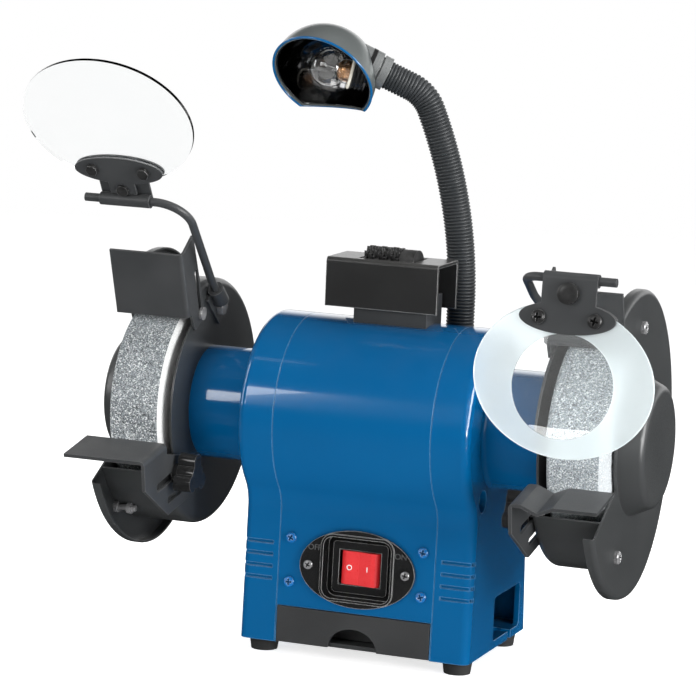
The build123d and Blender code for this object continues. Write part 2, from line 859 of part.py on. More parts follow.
# Screws of one guard: cover screws with nuts, plate screws, and the bolts of rest, deflector and shield rod
def make_guard_screws():
    screws = []
    inner_x = neck_end + sheet
    for angle in tab_angles:
        y, z = around(angle, tab_radius)
        screw = bar(cover_outer_x - cover_screw_length, cover_outer_x, cover_screw_radius, y, z)
        screw += bar(cover_outer_x, cover_outer_x + cover_screw_head_height, cover_screw_head_radius, y, z)
        nut_x = cover_inner_x - sheet
        screw += hex_bar(nut_x - inner_nut_height, nut_x, inner_nut_radius, y, z)
        screws.append(screw)
    for angle in guard_screw_angles:
        y, z = around(angle, guard_screw_circle)
        screw = bar(neck_end - guard_screw_length, inner_x, guard_screw_radius, y, z)
        screw += bar(inner_x, inner_x + guard_screw_head_height, guard_screw_head_radius, y, z)
        screws.append(screw)
    bolt_end = inner_x + rest_bolt_head_height
    bolt = bar(bolt_end - rest_bolt_length, inner_x, rest_bolt_radius, rest_bolt_y, rest_bolt_z)
    screws.append(bolt + hex_bar(inner_x, bolt_end, rest_bolt_head_radius, rest_bolt_y, rest_bolt_z))
    nut_end = inner_x + inner_nut_height
    head_x = rest_outer_x - deflector_sheet - side_gap
    y, z = deflector_screw_y, deflector_screw_z
    screw = bar(head_x, nut_end, deflector_screw_radius, y, z)
    screw += bar(head_x - deflector_screw_head_height, head_x, deflector_screw_head_radius, y, z)
    screws.append(screw + hex_bar(inner_x, nut_end, inner_nut_radius, y, z))
    head_x = rest_outer_x - clamp_plate - side_gap
    bolt = bar(head_x, nut_end, pivot_bolt_radius, pivot_y, pivot_z)
    bolt += hex_bar(head_x - pivot_bolt_head_height, head_x, pivot_bolt_head_radius, pivot_y, pivot_z)
    screws.append(bolt + hex_bar(inner_x, nut_end, inner_nut_radius, pivot_y, pivot_z))
    return screws


# Tool rest: slotted side flange beside the guard and a table in front of the wheel, tilted together.
# In its own frame the clamping bolt is at the origin, Y runs to the back and Z up from the table
def make_rest(grooved):
    x1 = rest_outer_x
    x0 = x1 - rest_sheet
    flange = Polygon(
        (-rest_front, rest_table_rise),
        (-rest_front, rest_shoulder),
        (-rest_nose, -rest_drop),
        (rest_back - rest_heel, -rest_drop),
        (rest_back, -rest_drop + rest_heel_rise),
        (rest_back, rest_back_rise),
        (-rest_table_back, rest_table_rise - 2 * rest_bend),
        (-rest_table_back, rest_table_rise),
        align=None,
    )
    rest = prism(flange, x0, x1)
    top = rest_table_rise
    low = top - rest_sheet
    end = x0 + rest_table_reach
    line = [(x0, 0), (end, 0)]
    if grooved:
        middle = x0 + vee_offset
        line = [(x0, 0), (middle - vee_half_width, 0), (middle, -vee_depth)]
        line += [(middle + vee_half_width, 0), (end, 0)]
    outline = [(x, top + z) for x, z in line] + [(x, low + z) for x, z in reversed(line)]
    profile = Plane.XZ.offset(rest_table_back) * Polygon(*outline, align=None)
    rest += extrude(profile, amount=rest_front - rest_table_back, dir=(0, -1, 0))
    on_plane = [e for e in rest.edges() if abs(e.center().X - x0) < tolerance]
    bend = [e for e in on_plane if abs(e.center().Z - top) < tolerance]
    rest = fillet(bend, rest_bend)
    wide = rest_bolt_radius + rest_slot_clearance
    rest -= slot_x(x0 - margin, x1 + margin, -rest_slot_front, rest_slot_back, wide, 0)
    second = -rest_second_slot_drop
    ends = (-rest_second_slot_front, rest_second_slot_back)
    rest -= slot_x(x0 - margin, x1 + margin, *ends, rest_second_slot_radius, second)
    return Pos(0, rest_bolt_y, rest_bolt_z) * Rot(rest_tilt_angle, 0, 0) * rest


# Lobed clamping knob on the tool-rest bolt
def make_knob():
    face = rest_outer_x - rest_sheet - side_gap
    back = face - knob_collar_length
    front = back - knob_thickness
    shape = Circle(knob_hub_radius)
    for angle in knob_lobe_angles:
        shape += Rot(0, 0, angle) * Pos(knob_lobe_circle, 0) * Circle(knob_lobe_radius)
    knob = prism(Pos(rest_bolt_y, rest_bolt_z) * shape, front, back)
    knob += bar(back, face, knob_collar_radius, rest_bolt_y, rest_bolt_z)
    hole = rest_bolt_radius + bore_clearance
    return knob - bar(front + knob_cap, face + margin, hole, rest_bolt_y, rest_bolt_z)


# Spark deflector: slotted side flange and a front plate, leaning forward together.
# In its own frame the screw is at the origin and Z runs along the lean
def make_deflector():
    x1 = rest_outer_x
    x0 = x1 - deflector_sheet
    flange = Polygon(
        (-deflector_front, deflector_low),
        (-deflector_front, deflector_top),
        (-deflector_front + 2 * deflector_bend, deflector_top),
        (deflector_back - deflector_peak_inset, deflector_peak),
        (deflector_back, deflector_low),
        (deflector_back - deflector_tail_inset, -deflector_tail + deflector_tail_rise),
        (-deflector_front + 3 * deflector_bend, -deflector_tail),
        (-deflector_front + 2 * deflector_bend, deflector_low),
        align=None,
    )
    plate = prism(flange, x0, x1)
    back = -deflector_front + deflector_sheet
    plate += block((x0, -deflector_front, deflector_low), (x0 + deflector_reach, back, deflector_top))
    on_plane = [e for e in plate.edges() if abs(e.center().X - x0) < tolerance]
    bend = [e for e in on_plane if abs(e.center().Y + deflector_front) < tolerance]
    plate = fillet(bend, deflector_bend)
    wide = deflector_screw_radius + rest_slot_clearance
    plate -= Rot(90, 0, 0) * slot_x(x0 - margin, x1 + margin, 0, deflector_slot, wide, 0)
    return Pos(0, deflector_screw_y, deflector_screw_z) * Rot(deflector_lean_angle, 0, 0) * plate


# A place on a shield arm: -Y runs out along the arm from its pivot bolt
def arm_place(angle):
    return Pos(0, pivot_y, pivot_z) * Rot(-angle, 0, 0)


def rod_x():
    return rest_outer_x - rod_radius - clamp_wall


# Bent rod: out along the arm, leaning to one side on the way, then along X under the shield holder
def make_rod(angle, lean, lean_start, bend):
    x = rod_x()
    end_x = shield_x + holder_neck_width / 2 + rod_end_length
    corners = [(x, -rod_start, 0), (x, -lean_start, 0), (x - lean, -arm_length, 0), (end_x, -arm_length, 0)]
    path = FilletPolyline(*corners, radius=bend)
    rod = sweep(Plane(path @ 0, z_dir=path % 0) * Circle(rod_radius), path=path)
    return arm_place(angle) * rod


# Clamp that turns on the pivot bolt and grips the rod in a sleeve
def make_clamp(angle):
    x1 = rest_outer_x
    x0 = x1 - clamp_plate
    clamp = block((x0, -clamp_plate_end, -clamp_half_width), (x1, clamp_back, clamp_half_width))
    sleeve = Plane.XZ.offset(clamp_sleeve_start) * Pos(rod_x(), 0) * Circle(rod_radius + clamp_wall)
    hole = Plane.XZ.offset(clamp_sleeve_start - margin) * Pos(rod_x(), 0) * Circle(rod_radius + rod_fit)
    clamp += extrude(sleeve, amount=clamp_sleeve_end - clamp_sleeve_start)
    clamp -= extrude(hole, amount=clamp_sleeve_end - clamp_sleeve_start + 2)
    clamp -= bar(x0 - margin, x1 + margin, pivot_bolt_radius + bore_clearance, 0, 0)
    return arm_place(angle) * clamp


# A place on a shield: hanging straight down from the rod at swing 0, front towards -Y
def shield_place(angle, swing):
    arm = arm_place(angle) * Pos(shield_x, -arm_length, 0)
    return Pos(*arm.position) * Rot(-swing, 0, 0)


def sleeve_radius():
    return rod_radius + rod_fit + holder_sleeve_wall


# Depths of the shield layers behind the front of its holder, measured along Y
def lens_front_y():
    return -sleeve_radius() + holder_sheet


def lens_back_y():
    return lens_front_y() + lens_thickness


def holder_screw_places():
    return [(-holder_screw_x, -holder_screw_drop), (holder_screw_x, -holder_screw_drop)]


# A sketch in (x, z) made into a plate between two depths
def layer(sketch, y0, y1):
    return extrude(Plane.XZ.offset(-y1) * sketch, amount=y1 - y0, dir=(0, -1, 0))


# Holder: front plate rolled round the rod, and a back plate that sandwiches the lens
def make_holder():
    half = holder_neck_width / 2
    leaf = Pos(0, -holder_centre) * Ellipse(holder_half_width, holder_half_height)
    neck = Pos(0, -holder_centre / 2) * Rectangle(holder_neck_width, holder_centre)
    front = layer(leaf + neck, -sleeve_radius(), lens_front_y())
    front += bar(-half, half, sleeve_radius(), 0, 0)
    front -= bar(-half - margin, half + margin, rod_radius + rod_fit, 0, 0)
    tab_height = holder_centre - holder_tab_top
    tab = Pos(0, -holder_tab_top - tab_height / 2) * Rectangle(holder_tab_width, tab_height)
    back = layer(leaf + tab, lens_back_y(), lens_back_y() + holder_sheet)
    deep = 4 * sleeve_radius()
    for x, z in holder_screw_places():
        front -= layer(Pos(x, z) * Circle(holder_screw_radius + hole_clearance), -deep, deep)
        back -= layer(Pos(x, z) * Circle(holder_screw_radius + hole_clearance), -deep, deep)
    rivet = Pos(0, -holder_rivet_drop) * Circle(holder_rivet_radius + hole_clearance)
    front -= layer(rivet, -deep, lens_front_y())
    back -= layer(rivet, lens_back_y(), deep)
    return [front, back]


def make_lens():
    oval = Pos(0, -lens_centre) * Ellipse(lens_half_width, lens_half_height)
    lens = layer(oval, lens_front_y(), lens_back_y())
    for x, z in holder_screw_places():
        lens -= layer(Pos(x, z) * Circle(holder_screw_radius + hole_clearance), -lens_centre, lens_centre)
    return lens


def make_shield_screws():
    front = -sleeve_radius()
    back = lens_back_y() + holder_sheet
    screws = []
    for x, z in holder_screw_places():
        screw = layer(Pos(x, z) * Circle(holder_screw_radius), front, back + holder_nut_height)
        screw += layer(Pos(x, z) * Circle(holder_screw_head_radius), front - holder_screw_head_height, front)
        screw += layer(Pos(x, z) * RegularPolygon(holder_nut_radius, 6), back, back + holder_nut_height)
        screws.append(screw)
    low = Pos(0, -holder_rivet_drop)
    rivet = layer(low * Circle(holder_rivet_radius), front, back)
    rivet += layer(low * Circle(holder_rivet_head_radius), front - holder_rivet_head_height, front)
    rivet += layer(low * Circle(holder_rivet_tail_radius), back, back + holder_rivet_tail_height)
    return screws + [rivet]


# Round magnifier: a spherical cap on the front of the right lens
def make_magnifier():
    ball = (magnifier_radius ** 2 + magnifier_height ** 2) / (2 * magnifier_height)
    cap_y = lens_front_y() + ball - magnifier_height
    low = -lens_centre - magnifier_drop
    cap = Pos(0, cap_y, low) * Sphere(ball)
    face = lens_front_y()
    return cap & layer(Pos(0, low) * Circle(2 * magnifier_radius), face - 2 * magnifier_height, face)


# Oval plate with a raised rim round a well that the switch stands in
def make_switch_plate():
    outer = rounded(switch_rim_width, switch_rim_height, switch_rim_corner, 0)
    inner = rounded(switch_rim_width, switch_rim_height, switch_rim_corner, -switch_rim_wall)
    plate = front_plate(Ellipse(switch_half_width, switch_half_height), 0, switch_plate_thickness)
    plate += front_plate(outer, switch_well_depth + switch_floor, switch_rim_depth)
    plate -= front_plate(inner, switch_well_depth, switch_rim_depth + margin)
    body = Rectangle(bezel_width - 2 * switch_wall, bezel_height - 2 * switch_wall)
    plate -= front_plate(offset(body, hole_clearance, kind=Kind.INTERSECTION), 2 * switch_well_depth, 0)
    for x in (-plate_screw_x, plate_screw_x):
        hole = Pos(x, 0) * Circle(plate_screw_radius + hole_clearance)
        plate -= front_plate(hole, margin, switch_rim_depth)
    return front_place(switch_x, switch_z) * plate


# Switch body: a bezel on the floor of the well, a box behind it and a pit for the rocker
def make_switch_housing():
    floor = switch_well_depth
    bezel = rounded(bezel_width, bezel_height, bezel_corner, 0)
    body = Rectangle(bezel_width - 2 * switch_wall, bezel_height - 2 * switch_wall)
    housing = front_plate(bezel, floor, bezel_depth - floor)
    housing += front_plate(body, floor + switch_body_depth, -floor)
    pit = Rectangle(rocker_width + 2 * rocker_gap, rocker_height + rocker_gap)
    housing -= front_plate(pit, floor + rocker_pit, bezel_depth - floor + margin)
    return front_place(switch_x, switch_z) * housing


# Rocker that tips about an upright line in the floor of the well; its left end is pressed in
def make_rocker():
    half = rocker_width / 2
    top = bezel_depth + rocker_proud
    outline = Polygon(
        (-half, -top),
        (0, -top + rocker_valley),
        (half, -top),
        (half, rocker_shoulder),
        (rocker_foot, rocker_depth - top),
        (-rocker_foot, rocker_depth - top),
        (-half, rocker_shoulder),
        align=None,
    )
    outline = fillet(outline.vertices().sort_by(Axis.Y)[:2], rocker_round)
    rocker = Pos(0, 0, -rocker_height / 2) * extrude(outline, amount=rocker_height, dir=(0, 0, 1))
    pivot = front_place(switch_x, switch_z) * Pos(0, switch_well_depth, 0)
    return pivot * Rot(0, 0, -rocker_tilt_angle) * rocker


# Drawer with a front panel, a finger notch and a water box set back behind it
def make_tray():
    front = front_at(0)
    floor = base_plate_thickness + tray_gap
    top = tray_front_height - tray_top_drop
    side = tray_half_width - tray_side_inset
    box_front = front + tray_setback
    rear = box_front + tray_depth
    panel_back = front + tray_front_thickness
    tray = block((-tray_half_width, front, tray_gap), (tray_half_width, panel_back, tray_front_height))
    oval = Pos(0, tray_gap) * Ellipse(tray_notch_half_width, tray_notch_height)
    notch = Plane.XZ.offset(-panel_back - margin) * oval
    tray -= extrude(notch, amount=tray_front_thickness + 2)
    tray += block((-side, panel_back, floor), (-side + tray_wall, box_front, top))
    tray += block((side - tray_wall, panel_back, floor), (side, box_front, top))
    tray += block((-side, box_front, floor), (side, rear, top))
    low = (-side + tray_wall, box_front + tray_wall, floor + tray_wall)
    return tray - block(low, (side - tray_wall, rear - tray_wall, top + margin))


def make_capacitor():
    half = capacitor_length / 2
    z = base_plate_thickness + capacitor_radius + plate_gap
    return bar(-half, half, capacitor_radius, capacitor_y, z)


def make_terminal_block():
    low = base_plate_thickness
    half_x = terminal_width / 2
    half_y = terminal_depth / 2
    low_corner = (terminal_x - half_x, terminal_y - half_y, low)
    terminal = block(low_corner, (terminal_x + half_x, terminal_y + half_y, low + terminal_height))
    slot = terminal_width / 4
    for y in (terminal_y - half_y / 2, terminal_y + half_y / 2):
        top = low + terminal_height
        terminal -= Pos(terminal_x, y, 0) * post(top - terminal_height / 2, top + margin, slot)
    return terminal


# Cable inlet with a nut on each side of the rear wall
def make_gland():
    inside = shell_wall + gland_nut_height
    gland = post(-inside, gland_stub, gland_thread_radius)
    gland += extrude(RegularPolygon(gland_nut_radius, 6), amount=gland_nut_height)
    gland += Pos(0, 0, -inside) * extrude(RegularPolygon(gland_nut_radius, 6), amount=gland_nut_height)
    gland -= post(-inside - margin, gland_stub + margin, gland_bore_radius)
    return rear_place(gland_x, gland_z) * gland


# Frame on top of the barrel that the dresser stands on
def make_dresser_seat():
    seat = block((seat_left, -seat_half_depth, shaft_height), (seat_right, seat_half_depth, seat_top_z))
    low = (seat_left + seat_wall, -seat_half_depth + seat_wall, shaft_height - margin)
    seat -= block(low, (seat_right - seat_wall, seat_half_depth - seat_wall, seat_top_z + margin))
    return seat - bar(seat_left - margin, seat_right + margin, barrel_radius + seat_clearance)


def cutter_end_x():
    return cutter_start_x + cutter_discs * cutter_pitch + cutter_bush_length


def web_places():
    left = cutter_start_x - web_gap
    right = cutter_end_x() + web_gap
    return (left - channel_sheet, left), (right, right + channel_sheet)


# Upturned channel with two cross webs that carry the cutter pin, and a window over the cutters
def make_dresser_channel():
    half = channel_half_length
    deep = channel_half_depth
    inner = deep - channel_sheet
    ceiling = channel_top_z - channel_sheet
    channel = block((-half, -deep, channel_low_z), (half, deep, channel_top_z))
    edges = [e for e in channel.edges().filter_by(Axis.X) if e.center().Z > channel_top_z - 1]
    channel = fillet(edges, channel_corner)
    channel -= block((-half - margin, -inner, channel_low_z - margin), (half + margin, inner, ceiling))
    for x0, x1 in web_places():
        channel += block((x0, -inner, seat_top_z + channel_gap), (x1, inner, ceiling))
    opening = sqrt(cutter_radius ** 2 - (ceiling - cutter_z) ** 2) + channel_window_gap
    (_, left), (right, _) = web_places()
    channel -= block((left, -opening, ceiling - margin), (right, opening, channel_top_z + margin))
    return channel - bar(-half, half, cutter_pin_radius + seat_clearance, 0, cutter_z)


def make_dresser_pin():
    (left, _), (_, right) = web_places()
    return bar(left - pin_overhang, right + pin_overhang, cutter_pin_radius, 0, cutter_z)


# Star discs, each turned a little past the last, and a plain bush that run on the pin
def make_cutters():
    hole = cutter_pin_radius + cutter_pin_clearance
    points = []
    for i in range(2 * cutter_teeth):
        radius = cutter_root_radius if i % 2 else cutter_radius
        angle = radians(180.0 * i / cutter_teeth)
        points.append((radius * cos(angle), radius * sin(angle)))
    star = Polygon(*points, align=None) - Circle(hole)
    pieces = []
    for i in range(cutter_discs):
        x = cutter_start_x + i * cutter_pitch
        turned_star = Pos(0, cutter_z) * Rot(0, 0, i * cutter_stagger_angle) * star
        pieces.append(prism(turned_star, x, x + cutter_thickness))
    x = cutter_start_x + cutter_discs * cutter_pitch
    end = cutter_end_x()
    pieces.append(bar(x, end, cutter_bush_radius, 0, cutter_z) - bar(x, end, hole, 0, cutter_z))
    return pieces


# Seat of the lamp neck in the barrel, with a spigot inside the neck
def make_hose_socket():
    top = hose_base_z()
    socket = post(top - socket_depth - socket_rise, top, socket_radius)
    socket += post(top, top + spigot_length, hose_bore_radius - spigot_clearance)
    return Pos(neck_hose_x, neck_hose_y, 0) * socket


# Ribbed lamp neck: a ruled loft through four circles to each rib, with a smooth bore
def make_hose():
    length = hose_length()
    count = int(length / hose_rib_pitch)
    pitch = length / count
    parts = [(0.0, hose_root_radius), (hose_rib_shoulder, hose_rib_radius)]
    parts += [(hose_rib_crest, hose_rib_radius), (hose_rib_foot, hose_root_radius)]
    circles = []
    for i in range(count):
        for part, radius in parts:
            circles.append(hose_station((i + part) * pitch) * Circle(radius))
    circles.append(hose_station(length) * Circle(hose_root_radius))
    hose = loft(circles, ruled=True)
    steps = count // 2
    rounds = [hose_station(i * length / steps) * Circle(hose_bore_radius) for i in range(steps + 1)]
    bore = loft(rounds, ruled=True)
    print("neck length", round(length, 1), "ribs", count, "bends", hose_low_radius, hose_high_radius)
    return hose - bore


# Lamp pieces stand along Z from the neck's end
def lamp_place():
    return hose_station(hose_length() + collar_gap)


# The hood's own frame, with Z out of the middle of its mouth
def hood_place():
    middle = lamp_place().from_local_coords(Vector(0, hood_drop, hood_reach))
    return Plane(middle, x_dir=(1, 0, 0), z_dir=hood_facing)


# Round solid of the hood's shape, drawn in by an inset
def hood_ball(inset):
    return hood_place() * Sphere(hood_radius - inset)


# Ringed collar on the neck's end, shaped to the hood's back
def make_collar():
    rise = collar_ring + collar_groove
    collar = post(0, collar_ring, collar_low_radius) + post(rise, collar_length + collar_blend, collar_radius)
    collar += post(collar_ring, rise, collar_low_radius - collar_groove)
    collar += post(-spigot_length, 0, hose_bore_radius - spigot_clearance)
    return lamp_place() * collar - hood_ball(-seat_clearance)


# The lamp holder's line starts beside the collar's and leans to the middle of the hood
def lamp_line():
    return lamp_place() * Pos(0, lamp_axis_drop, 0) * Rot(-lamp_axis_angle, 0, 0)


# A bowl between two insets, open at the mouth and cut level below
def hood_layer(outer_inset, inner_inset, setback):
    skin = hood_ball(outer_inset) - hood_ball(inner_inset)
    reach = 2 * hood_radius
    skin -= hood_place() * post(hood_mouth_rise - setback, reach, reach)
    flat = setback - hood_flat_drop
    skin -= Pos(*hood_place().origin) * block((-reach, -reach, -reach), (reach, reach, flat))
    return skin - lamp_line() * post(0, hood_reach, lamp_stem_radius + lamp_stem_clearance)


def make_hood():
    return hood_layer(0, hood_wall, 0)


def make_reflector():
    outer = hood_wall + reflector_gap
    return hood_layer(outer, outer + reflector_wall, reflector_setback)


# Bulb holder on a stem that runs through the hood into the collar's end
def make_lamp_socket():
    end = lamp_socket_start + lamp_socket_length
    stem = post(0, lamp_socket_start, lamp_stem_radius)
    stem = lamp_line() * stem & hood_ball(0)
    return stem + lamp_line() * post(lamp_socket_start, end, lamp_socket_radius)


def make_bulb():
    start = lamp_socket_start + lamp_socket_length
    glass = post(start, bulb_centre, bulb_neck_radius) + Pos(0, 0, bulb_centre) * Sphere(bulb_radius)
    return lamp_line() * glass


os.makedirs("parts", exist_ok=True)
end_bell = make_end_bell()
guard = make_guard()
cover = make_cover()
wheel = make_wheel()
knob = make_knob()
deflector = make_deflector()

save("motor_shell", make_motor_shell())
save("right_end_bell", end_bell)
save("left_end_bell", on_side(end_bell, -1))
save("base_plate", make_base_plate())
save("rubber_feet", *make_feet())
save("tie_bolts", *make_tie_bolts())
casing_screws = front_screws(
    casing_screw_places(), casing_screw_radius, casing_screw_head_radius,
    casing_screw_head_height, casing_screw_length, 0.0)
save("casing_screws", *casing_screws)
plate_screws = front_screws(
    plate_screw_places(), plate_screw_radius, plate_screw_head_radius,
    plate_screw_head_height, plate_screw_length, switch_plate_thickness)
save("switch_plate_screws", *plate_screws)
save("stator_core", make_stator())
save("stator_windings", *make_windings())
save("run_capacitor", make_capacitor())
save("terminal_block", make_terminal_block())
save("switch_plate", make_switch_plate())
save("switch_housing", make_switch_housing())
save("switch_rocker", make_rocker())
save("cable_gland", make_gland())
save("water_tray", make_tray())
save("bearing_outer_races", *both_sides(make_outer_race()))
save("bearing_inner_races", *both_sides(make_inner_race()))
save("bearing_balls", *make_balls())
save("arbor_shaft", make_shaft())
save("rotor_core", make_rotor_core())
save("wheel_flanges", *make_flanges())
save("wheel_blotters", *make_blotters())
save("arbor_nuts", *both_sides(make_nut()))
save("dresser_seat", make_dresser_seat())
save("dresser_channel", make_dresser_channel())
save("dresser_pin", make_dresser_pin())
save("dresser_cutters", *make_cutters())
save("gooseneck_socket", make_hose_socket())
save("gooseneck", make_hose())
save("lamp_collar", make_collar())
save("lamp_hood", make_hood())
save("lamp_reflector", make_reflector())
save("lamp_socket", make_lamp_socket())
save("lamp_bulb", make_bulb())
right_screws = make_guard_screws()
save("guard_screws", *right_screws, *[on_side(s, -1) for s in right_screws])

for side, hand in ((1, "right"), (-1, "left")):
    angle = right_arm_angle if side > 0 else left_arm_angle
    swing = right_shield_angle if side > 0 else left_shield_angle
    lean = right_rod_lean if side > 0 else left_rod_lean
    lean_start = right_rod_lean_start if side > 0 else left_rod_lean_start
    bend = right_rod_bend if side > 0 else left_rod_bend
    place = shield_place(angle, swing)
    save(f"{hand}_guard", on_side(guard, side))
    save(f"{hand}_cover", on_side(cover, side))
    save(f"{hand}_wheel", on_side(wheel, side))
    save(f"{hand}_tool_rest", on_side(make_rest(side > 0), side))
    save(f"{hand}_rest_knob", on_side(knob, side))
    save(f"{hand}_deflector", on_side(deflector, side))
    save(f"{hand}_shield_rod", on_side(make_rod(angle, lean, lean_start, bend), side))
    save(f"{hand}_rod_clamp", on_side(make_clamp(angle), side))
    save(f"{hand}_shield_bracket", *[on_side(place * p, side) for p in make_holder()])
    save(f"{hand}_shield_lens", on_side(place * make_lens(), side))
    save(f"{hand}_shield_screws", *[on_side(place * p, side) for p in make_shield_screws()])
save("magnifier_lens", shield_place(right_arm_angle, right_shield_angle) * make_magnifier())
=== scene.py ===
import math

import bmesh
import bpy
import numpy as np
from mathutils import Matrix, Vector


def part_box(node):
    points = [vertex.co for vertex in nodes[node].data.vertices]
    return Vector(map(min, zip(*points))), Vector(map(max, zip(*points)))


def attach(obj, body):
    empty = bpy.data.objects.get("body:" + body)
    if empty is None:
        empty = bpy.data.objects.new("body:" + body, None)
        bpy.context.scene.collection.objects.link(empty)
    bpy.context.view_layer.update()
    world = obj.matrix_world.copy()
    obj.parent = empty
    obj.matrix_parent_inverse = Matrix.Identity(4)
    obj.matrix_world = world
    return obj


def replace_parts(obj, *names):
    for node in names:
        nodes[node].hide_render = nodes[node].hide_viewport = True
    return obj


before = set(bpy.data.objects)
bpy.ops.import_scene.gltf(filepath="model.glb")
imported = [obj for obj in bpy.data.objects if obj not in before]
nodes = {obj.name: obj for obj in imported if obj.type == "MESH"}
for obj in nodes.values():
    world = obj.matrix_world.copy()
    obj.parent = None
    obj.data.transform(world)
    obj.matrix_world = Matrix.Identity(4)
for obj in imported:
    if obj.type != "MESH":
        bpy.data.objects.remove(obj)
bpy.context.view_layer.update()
shaftLine = np.array([0.0, -0.044, 0.160])  # wheel shaft in the shared frame
print("frame loaded:", len(nodes), "nodes")

# Mesh helpers


# Quads of a grid numbered row by row, its columns a closed round; wrapRows closes the rows too
def gridFaces(rows, cols, wrapRows=False):
    r = np.arange(rows if wrapRows else rows - 1)[:, None]
    c = np.arange(cols)[None, :]
    rNext = (r + 1) % rows
    cNext = (c + 1) % cols
    corners = [r * cols + c, r * cols + cNext, rNext * cols + cNext, rNext * cols + c]
    return np.stack([np.broadcast_to(q, (r.size, c.size)) for q in corners], axis=-1).reshape(-1, 4)


meshSet = dict(mergeDist=1e-7, flatDist=1e-8, nearUp=0.9)
upward = np.array([0.0, 0.0, 1.0])


# A new object with its data, linked to the scene
def placed(name, data):
    holder = bpy.data.objects.new(name, data)
    bpy.context.scene.collection.objects.link(holder)
    return holder


# Axes and place as the columns of a matrix
def frameMatrix(right, up, out, place):
    return Matrix([[right[i], up[i], out[i], place[i]] for i in range(3)] + [[0, 0, 0, 1]])


# Mesh of a node, and its points as one array
def pointsOf(name):
    mesh = nodes[name].data
    spots = np.empty(len(mesh.vertices) * 3)
    mesh.vertices.foreach_get("co", spots)
    return mesh, spots.reshape(-1, 3)


# A finished piece: doubles merged, faces out, edges sharper than the angle kept sharp
def makePiece(name, points, faces, body, finish, sharp=40.0, recess=None):
    mesh = bpy.data.meshes.new(name)
    mesh.from_pydata(np.asarray(points, float).reshape(-1, 3).tolist(), [], np.asarray(faces).tolist())
    if recess is not None:
        sunk = mesh.attributes.new("recess", "FLOAT", "POINT")
        sunk.data.foreach_set("value", np.asarray(recess, float).ravel())
    work = bmesh.new()
    work.from_mesh(mesh)
    bmesh.ops.remove_doubles(work, verts=work.verts, dist=meshSet["mergeDist"])
    bmesh.ops.dissolve_degenerate(work, edges=work.edges, dist=meshSet["flatDist"])
    bmesh.ops.recalc_face_normals(work, faces=work.faces)
    work.to_mesh(mesh)
    work.free()
    mesh.shade_smooth()
    mesh.set_sharp_from_angle(angle=math.radians(sharp))
    mesh.materials.append(finishes[finish])
    piece = placed(name, mesh)
    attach(piece, body)
    return piece


# Several point and face arrays as one
def joined(shapes):
    points = []
    faces = []
    start = 0
    for p, f in shapes:
        p = np.asarray(p).reshape(-1, 3)
        points.append(p)
        faces.append(np.asarray(f) + start)
        start += len(p)
    return np.concatenate(points), np.concatenate(faces)


# Two unit vectors square to a direction
def squareTo(direction):
    d = np.asarray(direction, float) / np.linalg.norm(direction)
    spare = upward if abs(d[2]) < meshSet["nearUp"] else np.array([1.0, 0.0, 0.0])
    side = np.cross(spare, d)
    side /= np.linalg.norm(side)
    return side, np.cross(d, side), d


# A profile of (along, radius) turned about a line: point = start + d*along + radius*(side*cos + other*sin)
def turned(profile, start, direction, count=64, closed=False):
    side, other, d = squareTo(direction)
    along, radius = np.asarray(profile, float).T
    turn = np.linspace(0, 2 * np.pi, count, endpoint=False)
    ringDir = np.cos(turn)[:, None] * side + np.sin(turn)[:, None] * other
    points = np.asarray(start) + along[:, None, None] * d + radius[:, None, None] * ringDir
    return points.reshape(-1, 3), gridFaces(len(along), count, wrapRows=closed)


# A turned profile as a finished piece; line is its start and direction
def makeTurned(name, profile, line, body, finish, count=64, closed=False, sharp=40.0):
    points, faces = turned(profile, *line, count, closed)
    return makePiece(name, points, faces, body, finish, sharp)


# Circles along a path: point = place + radius*(side*cos + other*sin)
def carried(path, radius, side, other, count):
    turn = np.linspace(0, 2 * np.pi, count, endpoint=False)[None, :, None]
    around = np.cos(turn) * side[:, None] + np.sin(turn) * other[:, None]
    return path[:, None] + np.reshape(radius, (-1, 1, 1)) * around


# A circle carried along a path, kept from twisting by a fixed side and closed at both ends
def tube(path, radius, steady, count):
    path = np.asarray(path, float)
    ahead = np.gradient(path, axis=0)
    ahead /= np.linalg.norm(ahead, axis=1)[:, None]
    side = np.cross(np.asarray(steady, float), ahead)
    side /= np.linalg.norm(side, axis=1)[:, None]
    other = np.cross(ahead, side)
    radius = np.full(len(path), radius)
    path, side, other = (np.concatenate([row[:1], row, row[-1:]]) for row in (path, side, other))
    radius = np.concatenate([[0.0], radius, [0.0]])
    return carried(path, radius, side, other, count).reshape(-1, 3), gridFaces(len(path), count)


# Shader helpers


# A shader node; a value is an attribute or, with _ for a blank, an input
def addNode(tree, kind, **values):
    node = tree.nodes.new("ShaderNode" + kind)
    for key, value in values.items():
        if hasattr(node, key):
            setattr(node, key, value)
        else:
            node.inputs[key.replace("_", " ")].default_value = value
    return node


# Links, each given as the first node and its output, the second node and its input
def wire(tree, *runs):
    for first, output, second, entry in runs:
        tree.links.new(first.outputs[output], second.inputs[entry])


def startGroup(name, inputs, outputs):
    tree = bpy.data.node_groups.new(name, "ShaderNodeTree")
    for label, value in inputs:
        socket = tree.interface.new_socket(name=label, in_out="INPUT", socket_type="NodeSocketFloat")
        socket.default_value = value
    for label, kind in outputs:
        tree.interface.new_socket(name=label, in_out="OUTPUT", socket_type="NodeSocket" + kind)
    return tree, tree.nodes.new("NodeGroupInput"), tree.nodes.new("NodeGroupOutput")


